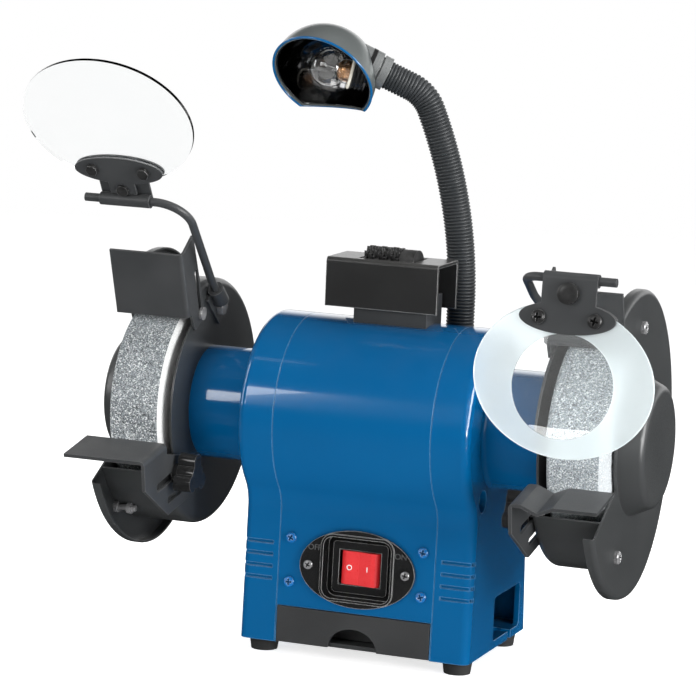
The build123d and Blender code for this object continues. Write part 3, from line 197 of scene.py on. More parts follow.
# Edge mask: one minus the dot of the rounded normal and the plain one, broken up by noise. It marks worn
# edges and also painted highlight lines, a bright edge colour standing in for light caught by rounded edges
def makeEdgeWearAndHighlight():
    tree, given, result = startGroup(
        "edgeWearAndHighlight",
        [("Radius", 0.0006), ("Contrast", 6.0), ("Break Up", -0.3), ("Scale", 240.0)],
        [("Wear And Highlight", "Float"), ("Normal", "Vector")],
    )
    bevel = addNode(tree, "Bevel", samples=4)
    plain = addNode(tree, "NewGeometry")
    dot = addNode(tree, "VectorMath", operation="DOT_PRODUCT")
    lift = addNode(tree, "Math", operation="SUBTRACT")
    gain = addNode(tree, "Math", operation="MULTIPLY")
    where = addNode(tree, "TexCoord")
    noise = addNode(tree, "TexNoise", Detail=4.0)
    drop = addNode(tree, "Math", operation="SUBTRACT")
    keep = addNode(tree, "Math", operation="MULTIPLY", use_clamp=True)
    lift.inputs[0].default_value = 1.0
    wire(tree,
         (given, "Radius", bevel, "Radius"), (bevel, "Normal", dot, 0), (plain, "Normal", dot, 1),
         (dot, "Value", lift, 1), (lift, 0, gain, 0), (given, "Contrast", gain, 1),
         (where, "Object", noise, "Vector"), (given, "Scale", noise, "Scale"), (noise, "Fac", drop, 0),
         (given, "Break Up", drop, 1), (gain, 0, keep, 0), (drop, 0, keep, 1),
         (keep, 0, result, "Wear And Highlight"), (bevel, "Normal", result, "Normal"))
    return tree


# Skin of paint or moulding: fine noise as height, broad noise as tone
def makeSkinGrain():
    tree, given, result = startGroup(
        "skinGrain",
        [("Fine Scale", 900.0), ("Broad Scale", 14.0), ("Detail", 3.0)],
        [("Height", "Float"), ("Tone", "Float")],
    )
    where = addNode(tree, "TexCoord")
    fine = addNode(tree, "TexNoise")
    broad = addNode(tree, "TexNoise", Detail=3.0)
    for noise, label in ((fine, "Fine Scale"), (broad, "Broad Scale")):
        wire(tree, (where, "Object", noise, "Vector"), (given, label, noise, "Scale"))
    wire(tree, (given, "Detail", fine, "Detail"), (fine, "Fac", result, "Height"),
         (broad, "Fac", result, "Tone"))
    return tree


# Dust lies on what faces up: clamped normal Z times patchy noise
def makeDustFilm():
    tree, given, result = startGroup(
        "dustFilm", [("Amount", 0.1), ("Scale", 60.0)], [("Dust", "Float")])
    where = addNode(tree, "TexCoord")
    plain = addNode(tree, "NewGeometry")
    parts = addNode(tree, "SeparateXYZ")
    noise = addNode(tree, "TexNoise", Detail=5.0)
    up = addNode(tree, "Math", operation="MULTIPLY", use_clamp=True)
    amount = addNode(tree, "Math", operation="MULTIPLY", use_clamp=True)
    wire(tree,
         (where, "Object", noise, "Vector"), (given, "Scale", noise, "Scale"), (plain, "Normal", parts, 0),
         (parts, "Z", up, 0), (noise, "Fac", up, 1), (up, 0, amount, 0), (given, "Amount", amount, 1),
         (amount, 0, result, "Dust"))
    return tree


edgeWearAndHighlight = makeEdgeWearAndHighlight()
skinGrain = makeSkinGrain()
dustFilm = makeDustFilm()


def startFinish(name):
    finish = bpy.data.materials.new(name)
    finish.use_nodes = True
    tree = finish.node_tree
    return finish, tree, tree.nodes["Principled BSDF"]


# Mix of two colours, each a socket, three numbers or one grey
def mixColour(tree, factor, first, second):
    mix = addNode(tree, "Mix", data_type="RGBA")
    tree.links.new(factor, mix.inputs[0])
    for slot, value in ((6, first), (7, second)):
        if isinstance(value, bpy.types.NodeSocket):
            tree.links.new(value, mix.inputs[slot])
        else:
            mix.inputs[slot].default_value = (*np.broadcast_to(value, 3), 1.0)
    return mix.outputs[2]


# Value run from one range to another
def ramped(tree, value, low, high, outLow, outHigh):
    node = addNode(tree, "MapRange")
    tree.links.new(value, node.inputs["Value"])
    for label, number in (("From Min", low), ("From Max", high), ("To Min", outLow), ("To Max", outHigh)):
        node.inputs[label].default_value = number
    return node.outputs["Result"]


noiseSpan = (0.3, 0.7)  # where most of a noise's values lie
plainLook = dict(
    dust=0, dustColour=(0.5, 0.49, 0.47), recessShade=None, grainScale=1500, toneScale=60, edge=0.0006,
    wearAndHighlight=0.6, spread=0.05, bump=0.1, depth=0.0003, metal=0, coat=0, coatRough=0.06, ior=1.5)


# Paint, plastic, rubber and metal share one build: broad tone, dust, worn edges with painted edge
# highlights, fine grain.
# A look names only what differs from the plain one
def surfaceFinish(name, look):
    look = {**plainLook, **look}
    finish, tree, shader = startFinish(name)
    link = tree.links.new
    grain = addNode(tree, "Group", node_tree=skinGrain, Fine_Scale=look["grainScale"],
                    Broad_Scale=look["toneScale"])
    wearAndHighlight = addNode(tree, "Group", node_tree=edgeWearAndHighlight, Radius=look["edge"], Contrast=look["wearAndHighlight"])
    tone = ramped(tree, grain.outputs["Tone"], *noiseSpan, 0.0, 1.0)
    colour = mixColour(tree, tone, look["dark"], look["light"])
    if look["dust"]:
        dust = addNode(tree, "Group", node_tree=dustFilm, Amount=look["dust"])
        colour = mixColour(tree, dust.outputs["Dust"], colour, look["dustColour"])
    # edges take the bare colour: worn metal on some finishes, a painted highlight along the edges on paint,
    # plastic and screws
    colour = mixColour(tree, wearAndHighlight.outputs["Wear And Highlight"], colour, look["bareAndHighlight"])
    # painted shade: inside a screw's cross recess the colour is darkened
    if look["recessShade"]:
        sunk = addNode(tree, "Attribute", attribute_name="recess")
        colour = mixColour(tree, sunk.outputs["Fac"], colour, look["recessShade"])
    link(colour, shader.inputs["Base Color"])
    smoothest = look["rough"] - look["spread"]
    roughest = look["rough"] + look["spread"]
    link(ramped(tree, grain.outputs["Height"], *noiseSpan, smoothest, roughest), shader.inputs["Roughness"])
    bump = addNode(tree, "Bump", Strength=look["bump"], Distance=look["depth"])
    wire(tree, (grain, "Height", bump, "Height"), (wearAndHighlight, "Normal", bump, "Normal"),
         (bump, "Normal", shader, "Normal"))
    sockets = {"Metallic": "metal", "Coat Weight": "coat", "Coat Roughness": "coatRough", "IOR": "ior"}
    for label, key in sockets.items():
        shader.inputs[label].default_value = look[key]
    return finish


surfaceLooks = dict(
    # bluePaint: its light blue edge colour is a painted highlight along rounded edges and vent slots
    bluePaint=dict(
        nodes="motor_shell", pairs="end_bell", dark=(0, 0.073, 0.203), light=(0, 0.082, 0.223),
        bareAndHighlight=(0.2, 0.44, 0.7), dust=0.02, grainScale=420, toneScale=9, edge=0.0011, wearAndHighlight=2,
        rough=0.13, spread=0.02, bump=0.04, coat=0.7, coatRough=0.02),
    # blueScrewPaint: near-white edges are painted glints on the heads, and the recess colour is painted
    # shade in the cross
    blueScrewPaint=dict(
        nodes="casing_screws", recessShade=(0, 0.03, 0.09), dark=(0.001, 0.09, 0.28),
        light=(0.002, 0.12, 0.36), bareAndHighlight=(0.62, 0.76, 0.9), dust=0.02, grainScale=700, edge=0.0005,
        wearAndHighlight=5, rough=0.22, coat=0.4),
    guardPaint=dict(
        nodes="base_plate", pairs="guard cover", dark=(0.026, 0.028, 0.029), light=(0.036, 0.038, 0.039),
        bareAndHighlight=(0.18, 0.18, 0.185), dust=0.05, toneScale=16, edge=0.0008, wearAndHighlight=1, rough=0.36,
        spread=0.06, bump=0.12, coat=0.15, coatRough=0.2),
    bracketPaint=dict(
        nodes="dresser_seat", pairs="tool_rest deflector shield_rod rod_clamp shield_bracket",
        dark=(0.027, 0.029, 0.031), light=(0.04, 0.042, 0.044), bareAndHighlight=(0.27, 0.27, 0.275), dust=0.08,
        grainScale=1900, toneScale=22, wearAndHighlight=1.5, rough=0.42, spread=0.07, bump=0.16),
    # channelPaint: the light edge colour is partly bare sheet metal at the cut edges, partly a painted
    # highlight along the edges
    channelPaint=dict(
        nodes="dresser_channel", dark=0.013, light=0.019, bareAndHighlight=(0.62, 0.62, 0.61), dust=0.1,
        grainScale=1600, toneScale=20, edge=0.0011, wearAndHighlight=3, rough=0.34, spread=0.06, coat=0.2,
        coatRough=0.2),
    blackPlastic=dict(
        nodes="cable_gland gooseneck_socket lamp_socket", pairs="rest_knob", dark=(0.009, 0.0092, 0.0095),
        light=(0.014, 0.0143, 0.0147), bareAndHighlight=0.3, dust=0.02, grainScale=1300, toneScale=18, wearAndHighlight=1.5,
        rough=0.2, spread=0.04, bump=0.04, depth=0.0002, coat=0.3, coatRough=0.08),
    # switchPlastic: the near-white edge colour is a painted highlight along the rim's edges
    switchPlastic=dict(
        nodes="switch_plate switch_housing", dark=(0.008, 0.0082, 0.0084), light=(0.012, 0.0122, 0.0125),
        bareAndHighlight=(0.7, 0.7, 0.69), dust=0.02, grainScale=1300, toneScale=18, edge=0.0008, wearAndHighlight=3,
        rough=0.18, spread=0.04, bump=0.04, depth=0.0002, coat=0.3, coatRough=0.08),
    trayPlastic=dict(
        nodes="water_tray", dark=(0.026, 0.027, 0.028), light=(0.035, 0.036, 0.037), bareAndHighlight=0.08, dust=0.04,
        toneScale=18, edge=0.0008, wearAndHighlight=0.8, rough=0.5, spread=0.06, bump=0.12),
    redPlastic=dict(
        nodes="switch_rocker", dark=(0.56, 0.018, 0.022), light=(0.66, 0.026, 0.03),
        bareAndHighlight=(0.75, 0.16, 0.14), dust=0.02, grainScale=1400, toneScale=40, rough=0.3,
        spread=0.04, bump=0.05, depth=0.0002, coat=0.2),
    greyPlastic=dict(
        nodes="run_capacitor terminal_block", dark=(0.2, 0.21, 0.215), light=(0.25, 0.26, 0.265),
        bareAndHighlight=(0.4, 0.41, 0.41), dust=0.03, toneScale=30, rough=0.38, bump=0.08),
    hoodPaint=dict(
        nodes="lamp_hood", dark=(0.105, 0.116, 0.115), light=(0.13, 0.142, 0.14), bareAndHighlight=(0.3, 0.36, 0.42),
        dust=0.02, grainScale=800, toneScale=20, wearAndHighlight=0.8, rough=0.32, spread=0.04, bump=0.05,
        metal=0.35, coat=0.3, coatRough=0.15),
    neckRubber=dict(
        nodes="gooseneck", dark=(0.024, 0.027, 0.029), light=(0.034, 0.037, 0.04),
        bareAndHighlight=(0.1, 0.105, 0.11), dust=0.05, grainScale=1600, toneScale=30, edge=0.0005, rough=0.42,
        spread=0.06),
    footRubber=dict(
        nodes="rubber_feet", dark=0.012, light=0.02, bareAndHighlight=0.05, dust=0.06, grainScale=1700,
        toneScale=40, edge=0.0008, rough=0.72, spread=0.08, bump=0.2, depth=0.0004),
    zincPlate=dict(
        nodes="tie_bolts wheel_flanges arbor_nuts dresser_pin", dark=0.42, light=(0.6, 0.6, 0.59),
        bareAndHighlight=(0.75, 0.75, 0.74), dust=0.05, grainScale=1200, toneScale=120, edge=0.0004, wearAndHighlight=1,
        rough=0.34, spread=0.1, depth=0.0002, metal=0.95),
    # blackScrew: lighter edges are a painted highlight on the cross edges, and the recess colour is painted
    # shade
    blackScrew=dict(
        pairs="shield_screws", recessShade=0.004, dark=0.03, light=0.055, bareAndHighlight=0.4, dust=0.04,
        toneScale=150, edge=0.0005, wearAndHighlight=3, rough=0.35, spread=0.08, depth=0.0002, metal=0.6),
    # chromeScrew: bright edges are a painted highlight, and the recess colour is painted shade in the cross
    chromeScrew=dict(
        nodes="switch_plate_screws guard_screws", recessShade=0.012, dark=(0.2, 0.2, 0.205),
        light=(0.34, 0.34, 0.345), bareAndHighlight=0.85, dust=0.03, toneScale=150, edge=0.0005, wearAndHighlight=2.5,
        rough=0.2, spread=0.06, depth=0.0002, metal=0.5),
    collarMetal=dict(
        nodes="lamp_collar", dark=(0.24, 0.25, 0.25), light=(0.32, 0.33, 0.33), bareAndHighlight=0.6, dust=0.03,
        toneScale=30, wearAndHighlight=1, rough=0.3, bump=0.08, metal=0.5),
    brightSteel=dict(
        nodes="bearing_outer_races arbor_shaft bearing_inner_races bearing_balls", dark=0.45,
        light=(0.58, 0.58, 0.57), bareAndHighlight=0.7, dust=0.04, grainScale=1600, toneScale=80, edge=0.0005,
        rough=0.28, spread=0.1, depth=0.0002, metal=1),
    cutterSteel=dict(
        nodes="dresser_cutters", dark=(0.035, 0.035, 0.036), light=0.075, bareAndHighlight=0.3, dust=0.1,
        toneScale=200, wearAndHighlight=1.2, rough=0.5, spread=0.12, bump=0.4, depth=0.0004, metal=0.6),
    coreSteel=dict(
        nodes="stator_core rotor_core", dark=0.2, light=(0.32, 0.32, 0.31), bareAndHighlight=0.45, rough=0.45,
        spread=0.1, bump=0.2, metal=0.9),
    copperWire=dict(
        nodes="stator_windings", dark=(0.38, 0.13, 0.05), light=(0.55, 0.22, 0.1), bareAndHighlight=(0.7, 0.35, 0.2),
        grainScale=900, toneScale=200, rough=0.35, spread=0.1, bump=0.5, depth=0.0006,
        metal=0.8),
    bulbBrass=dict(
        dark=(0.22, 0.11, 0.05), light=(0.36, 0.2, 0.1), bareAndHighlight=(0.5, 0.35, 0.2), grainScale=900,
        toneScale=150, edge=0.0003, rough=0.3, spread=0.08, depth=0.0002, metal=0.9),
    washerPaper=dict(
        nodes="wheel_blotters", dark=(0.55, 0.52, 0.44), light=(0.68, 0.65, 0.57),
        bareAndHighlight=(0.75, 0.72, 0.65), grainScale=1100, toneScale=50, edge=0.0003, wearAndHighlight=0.3, rough=0.85,
        spread=0.08, bump=0.3),
    markPaint=dict(
        dark=(0.78, 0.78, 0.77), light=(0.88, 0.88, 0.87), bareAndHighlight=0.9, edge=0.0002, wearAndHighlight=0.3, rough=0.45,
        bump=0.05, depth=0.0001),
    # painted highlight: the raised OFF and ON letters are the plate's black plastic, made grey to stand in
    # for the glints on them
    markGlint=dict(
        dark=(0.055, 0.056, 0.057), light=(0.075, 0.076, 0.077), bareAndHighlight=0.3, edge=0.0002, wearAndHighlight=1,
        rough=0.35, bump=0.05, depth=0.0001),
    # painted shade: the silvered reflector is given a dark colour so that what it mirrors looks dim
    reflectorMetal=dict(
        nodes="lamp_reflector", dark=(0.1, 0.1, 0.102), light=(0.15, 0.15, 0.152), bareAndHighlight=0.4,
        grainScale=120, wearAndHighlight=1, rough=0.1, bump=0.12, depth=0.0006, metal=1))


abrasiveSet = dict(
    pitScale=0.9, pitDetail=5, pitSpan=(0.36, 0.46), broadScale=18, broadDetail=3, broadShare=0.3,
    bondSpan=(0.36, 0.66), litSideSpan=(0.45, 0.65), bump=0.8, rough=0.85)


# Bonded grains: each cell its own grey, pits between cells, whiter on the side that faces right as a
# painted highlight, standing in for light on that side
def abrasiveFinish(name, look):
    a = abrasiveSet
    finish, tree, shader = startFinish(name)
    link = tree.links.new
    where = addNode(tree, "TexCoord")
    cells = addNode(tree, "TexVoronoi", Scale=look["grainScale"])
    pitScale = look["grainScale"] * a["pitScale"]
    pits = addNode(tree, "TexNoise", Scale=pitScale, Detail=a["pitDetail"])
    broad = addNode(tree, "TexNoise", Scale=a["broadScale"], Detail=a["broadDetail"])
    wire(tree, *((where, "Object", texture, "Vector") for texture in (cells, pits, broad)))
    parts = addNode(tree, "SeparateColor")
    link(cells.outputs["Color"], parts.inputs[0])
    spread = addNode(tree, "ValToRGB")
    ramp = spread.color_ramp
    ramp.elements[0].color = (*look["darkGrain"], 1)
    ramp.elements[1].color = (*look["lightGrain"], 1)
    for place in a["bondSpan"]:
        ramp.elements.new(place).color = (*look["bond"], 1)
    link(parts.outputs[0], spread.inputs["Fac"])
    pitMask = ramped(tree, pits.outputs["Fac"], *a["pitSpan"], 1.0, 0.0)
    colour = mixColour(tree, pitMask, spread.outputs["Color"], look["pit"])
    # painted highlight: faces turned towards +X are mixed towards the whiter side colour
    facing = addNode(tree, "SeparateXYZ")
    link(where.outputs["Normal"], facing.inputs[0])
    litSideMask = ramped(tree, facing.outputs["X"], *a["litSideSpan"], 0.0, look["litSideShare"])
    colour = mixColour(tree, litSideMask, colour, look["side"])
    tone = ramped(tree, broad.outputs["Fac"], *noiseSpan, 0.0, a["broadShare"])
    colour = mixColour(tree, tone, colour, look["bond"])
    link(colour, shader.inputs["Base Color"])
    height = addNode(tree, "Math", operation="SUBTRACT")
    bump = addNode(tree, "Bump", Strength=a["bump"], Distance=look["depth"])
    wire(tree, (pits, "Fac", height, 0), (cells, "Distance", height, 1), (height, 0, bump, "Height"),
         (bump, "Normal", shader, "Normal"))
    shader.inputs["Roughness"].default_value = a["rough"]
    return finish


abrasiveLooks = dict(
    # the side colour and its share are a painted highlight on each wheel's right-facing side
    leftAbrasive=dict(
        nodes="left_wheel", grainScale=1250, darkGrain=(0.015, 0.016, 0.017), bond=(0.24, 0.268, 0.282),
        lightGrain=(0.88, 0.9, 0.9), pit=(0.06, 0.064, 0.067), side=(0.78, 0.78, 0.77), litSideShare=0.85,
        depth=0.0006),
    rightAbrasive=dict(
        nodes="right_wheel", grainScale=1450, darkGrain=(0.05, 0.053, 0.056), bond=(0.29, 0.325, 0.345),
        lightGrain=(0.82, 0.84, 0.84), pit=(0.15, 0.16, 0.165), side=(0.52, 0.54, 0.55), litSideShare=0.6,
        depth=0.0004))


# Clear or frosted sheet: plain transmission, with smears or frosting in the roughness
def glassFinish(name, look):
    finish, tree, shader = startFinish(name)
    link = tree.links.new
    where = addNode(tree, "TexCoord")
    smear = addNode(tree, "TexNoise", Scale=look["smearScale"], Detail=4.0)
    link(where.outputs["Object"], smear.inputs["Vector"])
    rough = ramped(tree, smear.outputs["Fac"], *noiseSpan, look["smooth"], look["rough"])
    colour = mixColour(tree, smear.outputs["Fac"], look["tint"], look["tintHigh"])
    link(rough, shader.inputs["Roughness"])
    link(colour, shader.inputs["Base Color"])
    shader.inputs["Transmission Weight"].default_value = look.get("clear", 1.0)
    shader.inputs["IOR"].default_value = look["ior"]
    return finish


glassLooks = dict(
    clearSheet=dict(
        nodes="left_shield_lens", tint=(0.95, 0.965, 0.965), tintHigh=(0.985, 0.99, 0.99), smooth=0,
        rough=0.03, smearScale=25, ior=1.45),
    frostedSheet=dict(
        nodes="right_shield_lens", tint=(0.72, 0.775, 0.785), tintHigh=(0.78, 0.835, 0.845), smooth=0.3,
        rough=0.4, smearScale=60, ior=1.3, clear=0.7),
    lensGlass=dict(
        nodes="magnifier_lens", tint=(0.96, 0.975, 0.975), tintHigh=(0.985, 0.99, 0.99), smooth=0,
        rough=0.02, smearScale=30, ior=1.45),
    bulbGlass=dict(
        nodes="lamp_bulb", tint=(0.97, 0.97, 0.96), tintHigh=(0.99, 0.99, 0.985), smooth=0, rough=0.015,
        smearScale=60, ior=1.48))
finishes = {}
finished = []


# Keeps a finish by its name and puts it on its nodes; a pair is a left and a right one
def keepFinish(name, finish, look):
    finishes[name] = finish
    both = [f"{side}_{pair}" for pair in look.get("pairs", "").split() for side in ("left", "right")]
    for node in look.get("nodes", "").split() + both:
        slots = nodes[node].material_slots
        if not slots:
            nodes[node].data.materials.append(finish)
        for slot in slots:
            slot.material = finish
        finished.append(node)


looksOf = {surfaceFinish: surfaceLooks, abrasiveFinish: abrasiveLooks, glassFinish: glassLooks}
for make, looks in looksOf.items():
    for name, look in looks.items():
        keepFinish(name, make(name, look), look)
nodes["left_shield_lens"].visible_shadow = False
print(len(finishes), "finishes on", len(finished), "nodes")

# Grinding wheels with real grain on the rim

wheelSet = dict(
    radius=0.075, width=0.040, chamfer=0.0025, bore=0.0065, around=720, acrossRim=60, acrossSide=16,
    evenEdge=0.003, leftRough=0.00022, rightRough=0.00014, seed=7)


# Wheel profile turned about the shaft; rim points are pushed in by a seeded depth = rough*draw^2
def makeWheel(side, sign, rough):
    w = wheelSet
    draw = np.random.default_rng(w["seed"] + sign)
    half = w["width"] / 2
    face = np.linspace(w["bore"], w["radius"] - w["chamfer"], w["acrossSide"])
    rim = np.linspace(-half + w["chamfer"], half - w["chamfer"], w["acrossRim"])
    along = np.concatenate([np.full(face.size, -half), rim, np.full(face.size, half)])
    radius = np.concatenate([face, np.full(rim.size, w["radius"]), face[::-1]])
    low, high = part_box(f"{side}_wheel")
    centre = np.array([(low.x + high.x) / 2, shaftLine[1], shaftLine[2]])
    points, faces = turned(np.stack([along, radius], 1), centre, (1, 0, 0), w["around"], closed=True)
    points = points.reshape(along.size, w["around"], 3)
    out = points - centre
    out[..., 0] = 0
    out /= np.linalg.norm(out, axis=2)[..., None]
    onRim = (radius > w["radius"] - w["chamfer"] / 2)[:, None]
    inward = np.clip((half - w["chamfer"] - np.abs(along)) / w["evenEdge"], 0, 1)[:, None]
    depth = draw.random((along.size, w["around"])) ** 2 * rough * onRim * inward
    points = points - out * depth[..., None]
    name, finish = f"{side}_wheel_grain", f"{side}Abrasive"
    piece = makePiece(name, points, faces, "rotor", finish, sharp=30)
    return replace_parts(piece, f"{side}_wheel")


makeWheel("left", -1, wheelSet["leftRough"])
makeWheel("right", 1, wheelSet["rightRough"])
print("wheels made")

# Right eye shield: a frosted oval with a clear round behind the magnifier

shieldSet = dict(
    clearRadius=0.0352, gap=0.00005, edge=0.0005, across=14, around=192, lensRadius=0.035,
    lensHeight=0.004, lensRings=24, lensGap=0.0001)


# Axes, middle and half sizes of a flat oval node, from the spread of its points
def ovalFrame(name):
    spots = pointsOf(name)[1]
    axes = np.linalg.svd(spots - spots.mean(axis=0), full_matrices=False)[2]
    axes = axes * np.where(axes[[0, 1, 2], [0, 2, 1]] < 0, -1, 1)[:, None]
    reach = spots @ axes.T
    return axes, (reach.min(axis=0) + reach.max(axis=0)) / 2, np.ptp(reach, axis=0) / 2


# Rows of flat points, each row given its depth
def lifted(flat, depth):
    return np.concatenate([flat, np.broadcast_to(depth[:, None, None], (*flat.shape[:2], 1))], axis=2)


# Rows from an inner round to an outer oval on one face, over the edge and back on the other face
def makeShield():
    k = shieldSet
    axes, middle, half = ovalFrame("right_shield_lens")
    low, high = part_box("magnifier_lens")
    round3 = axes @ np.array((low + high) / 2) - middle
    turn = np.linspace(0, 2 * np.pi, k["around"], endpoint=False)
    circle = np.stack([np.cos(turn), np.sin(turn)], 1)
    part = np.linspace(0, 1, k["across"])
    depth = np.full(part.size, half[2])
    inset = np.concatenate([np.full(part.size, k["edge"]), [0.0], np.full(part.size, k["edge"])])
    part = np.concatenate([part, [1.0], part[::-1]])[:, None, None]
    depth = np.concatenate([-depth, [0.0], depth])
    inner = round3[:2] + (k["clearRadius"] + k["gap"]) * circle
    outer = (half[:2] - inset[:, None, None]) * circle
    flat = (1 - part) * inner + part * outer
    points = (lifted(flat, depth) + middle) @ axes
    faces = gridFaces(len(points), k["around"], wrapRows=True)
    frost = makePiece("right_lens_frost", points, faces, "right_shield", "frostedSheet")
    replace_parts(frost, "right_shield_lens")
    radius = np.array([0, k["clearRadius"], k["clearRadius"], 0])
    flat = round3[:2] + radius[:, None, None] * circle
    depth = half[2] * np.array([-1, -1, 1, 1.0])
    points = (lifted(flat, depth) + middle) @ axes
    faces = gridFaces(len(points), k["around"])
    clear = makePiece("right_lens_clear", points, faces, "right_shield", "clearSheet")
    return frost, clear


# Magnifier: a spherical cap on the front of the sheet, closed by a flat back:
# height = ball*cos(angle) - (ball - rise)
def makeMagnifier():
    k = shieldSet
    axes, middle, half = ovalFrame("right_shield_lens")
    facing = axes[2] * -np.sign(axes[2][1])
    low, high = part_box("magnifier_lens")
    round3 = axes @ np.array((low + high) / 2)
    round3[2] = middle[2] + (half[2] + k["lensGap"]) * np.sign(facing @ axes[2])
    ball = (k["lensRadius"] ** 2 + k["lensHeight"] ** 2) / (2 * k["lensHeight"])
    angle = np.linspace(0, math.asin(k["lensRadius"] / ball), k["lensRings"])
    cap = np.stack([ball * np.cos(angle) - (ball - k["lensHeight"]), ball * np.sin(angle)], 1)
    profile = np.concatenate([cap, [(0.0, 0.0)]])
    lens = makeTurned("magnifier_glass", profile, (round3 @ axes, facing), "right_shield", "lensGlass",
                      k["around"])
    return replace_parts(lens, "magnifier_lens")


for piece in (*makeShield(), makeMagnifier()):
    piece.visible_shadow = False
print("right shield made")

# Ribbed lamp neck

neckSet = dict(
    endRun=0.0184, heading=22.0, lowRadius=0.361, lowTurn=22.7, highRadius=0.030, highTurn=43.3,
    rootRadius=0.0090, ribRadius=0.0103, pitch=0.0024, perRib=10, roundness=0.6, around=48)
lowLength = neckSet["lowRadius"] * math.radians(neckSet["lowTurn"])
highLength = neckSet["highRadius"] * math.radians(neckSet["highTurn"])
neckLength = 2 * neckSet["endRun"] + (lowLength + highLength)


# Places and directions along the neck: a straight end, a wide bend, a tight bend and a straight end
def neckStations(length):
    n = neckSet
    low = np.clip(length - n["endRun"], 0, lowLength) / n["lowRadius"]
    turn = low + np.clip(length - n["endRun"] - lowLength, 0, highLength) / n["highRadius"]
    last = np.maximum(length - n["endRun"] - lowLength - highLength, 0)
    out = n["lowRadius"] * (1 - np.cos(low)) + n["highRadius"] * (np.cos(low) - np.cos(turn))
    out = out + last * np.sin(turn)
    up = np.minimum(length, n["endRun"]) + n["lowRadius"] * np.sin(low)
    up = up + n["highRadius"] * (np.sin(turn) - np.sin(low)) + last * np.cos(turn)
    heading = math.radians(n["heading"])
    ahead = np.array([-math.cos(heading), -math.sin(heading), 0.0])
    low3, high3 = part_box("gooseneck_socket")
    base = np.array([(low3.x + high3.x) / 2, (low3.y + high3.y) / 2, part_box("gooseneck")[0].z])
    places = base + upward * up[:, None] + ahead * out[:, None]
    directions = ahead * np.sin(turn)[:, None] + upward * np.cos(turn)[:, None]
    side = np.array([-math.sin(heading), math.cos(heading), 0.0])
    return places, directions, side


# Place of the neck's end, the way ahead there and the way down, square to it
def neckEnd():
    places, directions, side = neckStations(np.array([neckLength]))
    return places[0], directions[0], np.cross(directions[0], side)


# Round ribs: radius = root + (rib - root) * sin(pi*part)^roundness over each pitch
def makeNeck():
    n = neckSet
    ribs = int(neckLength / n["pitch"])
    part = np.linspace(0, ribs, ribs * n["perRib"] + 1)
    places, directions, side = neckStations(part / ribs * neckLength)
    swell = np.abs(np.sin(np.pi * part)) ** n["roundness"]
    radius = n["rootRadius"] + (n["ribRadius"] - n["rootRadius"]) * swell
    points = carried(places, radius, side[None], np.cross(directions, side), n["around"])
    ends = np.stack([places[:1].repeat(n["around"], 0), places[-1:].repeat(n["around"], 0)])
    points = np.concatenate([ends[:1], points, ends[1:]])
    faces = gridFaces(len(points), n["around"])
    piece = makePiece("neck_ribs", points, faces, "neck", "neckRubber", sharp=75)
    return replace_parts(piece, "gooseneck")


makeNeck()
print("neck made")

# Lamp bulb with cap, lead wires and filament

bulbSet = dict(
    gap=0.0002, drop=0.0052, tilt=11.0, start=0.0245, centre=0.040, radius=0.0145, neck=0.009,
    wall=0.0005, ballSteps=40, neckSteps=8)
capProfile = ((0.0247, 0.0), (0.0247, 0.0078), (0.029, 0.0080), (0.0315, 0.0072), (0.0335, 0.0045),
              (0.0345, 0.002), (0.0345, 0.0))
filamentSet = dict(
    leadStart=0.034, leadIn=0.001, leadRadius=0.0003, leadSteps=8, at=0.0425, half=0.0042,
    coilRadius=0.0006, coilTurn=80, coilSteps=160, wire=0.00018)


# Line of the lamp: from the neck's end, dropped and tilted
def lampLine():
    place, ahead, down = neckEnd()
    tilt = math.radians(bulbSet["tilt"])
    start = place + ahead * bulbSet["gap"] + down * bulbSet["drop"]
    return start, down * math.sin(tilt) + ahead * math.cos(tilt)


# Globe profile: a straight neck, then a sphere
def globeProfile(inset):
    b = bulbSet
    ball = b["radius"] - inset
    angle = np.linspace(math.pi - math.asin(b["neck"] / b["radius"]), 0, b["ballSteps"])
    sphere = np.stack([b["centre"] + ball * np.cos(angle), ball * np.sin(angle)], 1)
    neckAlong = np.linspace(b["start"], sphere[0, 0], b["neckSteps"])[:-1]
    neck = np.stack([neckAlong, np.full(neckAlong.size, b["neck"] - inset)], 1)
    return np.concatenate([neck, sphere])


# Shell and cap turned about the lamp's line; coil point = run + radius*(d*cos + other*sin)
def makeBulb():
    f = filamentSet
    line = start, direction = lampLine()
    shell = np.concatenate([globeProfile(0), globeProfile(bulbSet["wall"])[::-1]])
    glass = makeTurned("bulb_globe", shell, line, "lamp", "bulbGlass", closed=True)
    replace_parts(glass, "lamp_bulb")
    makeTurned("bulb_cap", capProfile, line, "lamp", "bulbBrass", count=48)
    side, other, d = squareTo(direction)
    shapes = []
    for s in (-1, 1):
        along = np.linspace(f["leadStart"], f["at"], f["leadSteps"])
        spread = s * np.linspace(f["leadIn"], f["half"], f["leadSteps"])
        path = start + np.outer(along, d) + np.outer(spread, side)
        shapes.append(tube(path, f["leadRadius"], other, count=8))
    t = np.linspace(0, 1, f["coilSteps"])
    angle = t * f["coilTurn"]
    coil = start + d * f["at"] + np.outer((2 * t - 1) * f["half"], side)
    coil = coil + f["coilRadius"] * (np.outer(np.cos(angle), d) + np.outer(np.sin(angle), other))
    shapes.append(tube(coil, f["wire"], other, count=6))
    points, faces = joined(shapes)
    makePiece("bulb_filament", points, faces, "lamp", "brightSteel")


makeBulb()
print("bulb made")

# Rings on the lamp's collar and bulb holder, and the bolt inside the left cover

ringSet = dict(
    collarBand=(0.0128, 0.0160), collarRadius=0.0130, bandHeight=0.0003, bandDepth=0.001,
    holderRadius=0.0105, holderRings=(0.0155, 0.0185, 0.0215), ringWidth=0.0011, ringHeight=0.0009,
    ringSteps=9, lipAt=0.0240, lipLift=0.0006)
boltSet = dict(
    place=(-0.1852, -0.0989, 0.0855), length=0.0165, radius=0.0022, headRadius=0.0042, headHeight=0.0032,
    nutAt=0.0105)


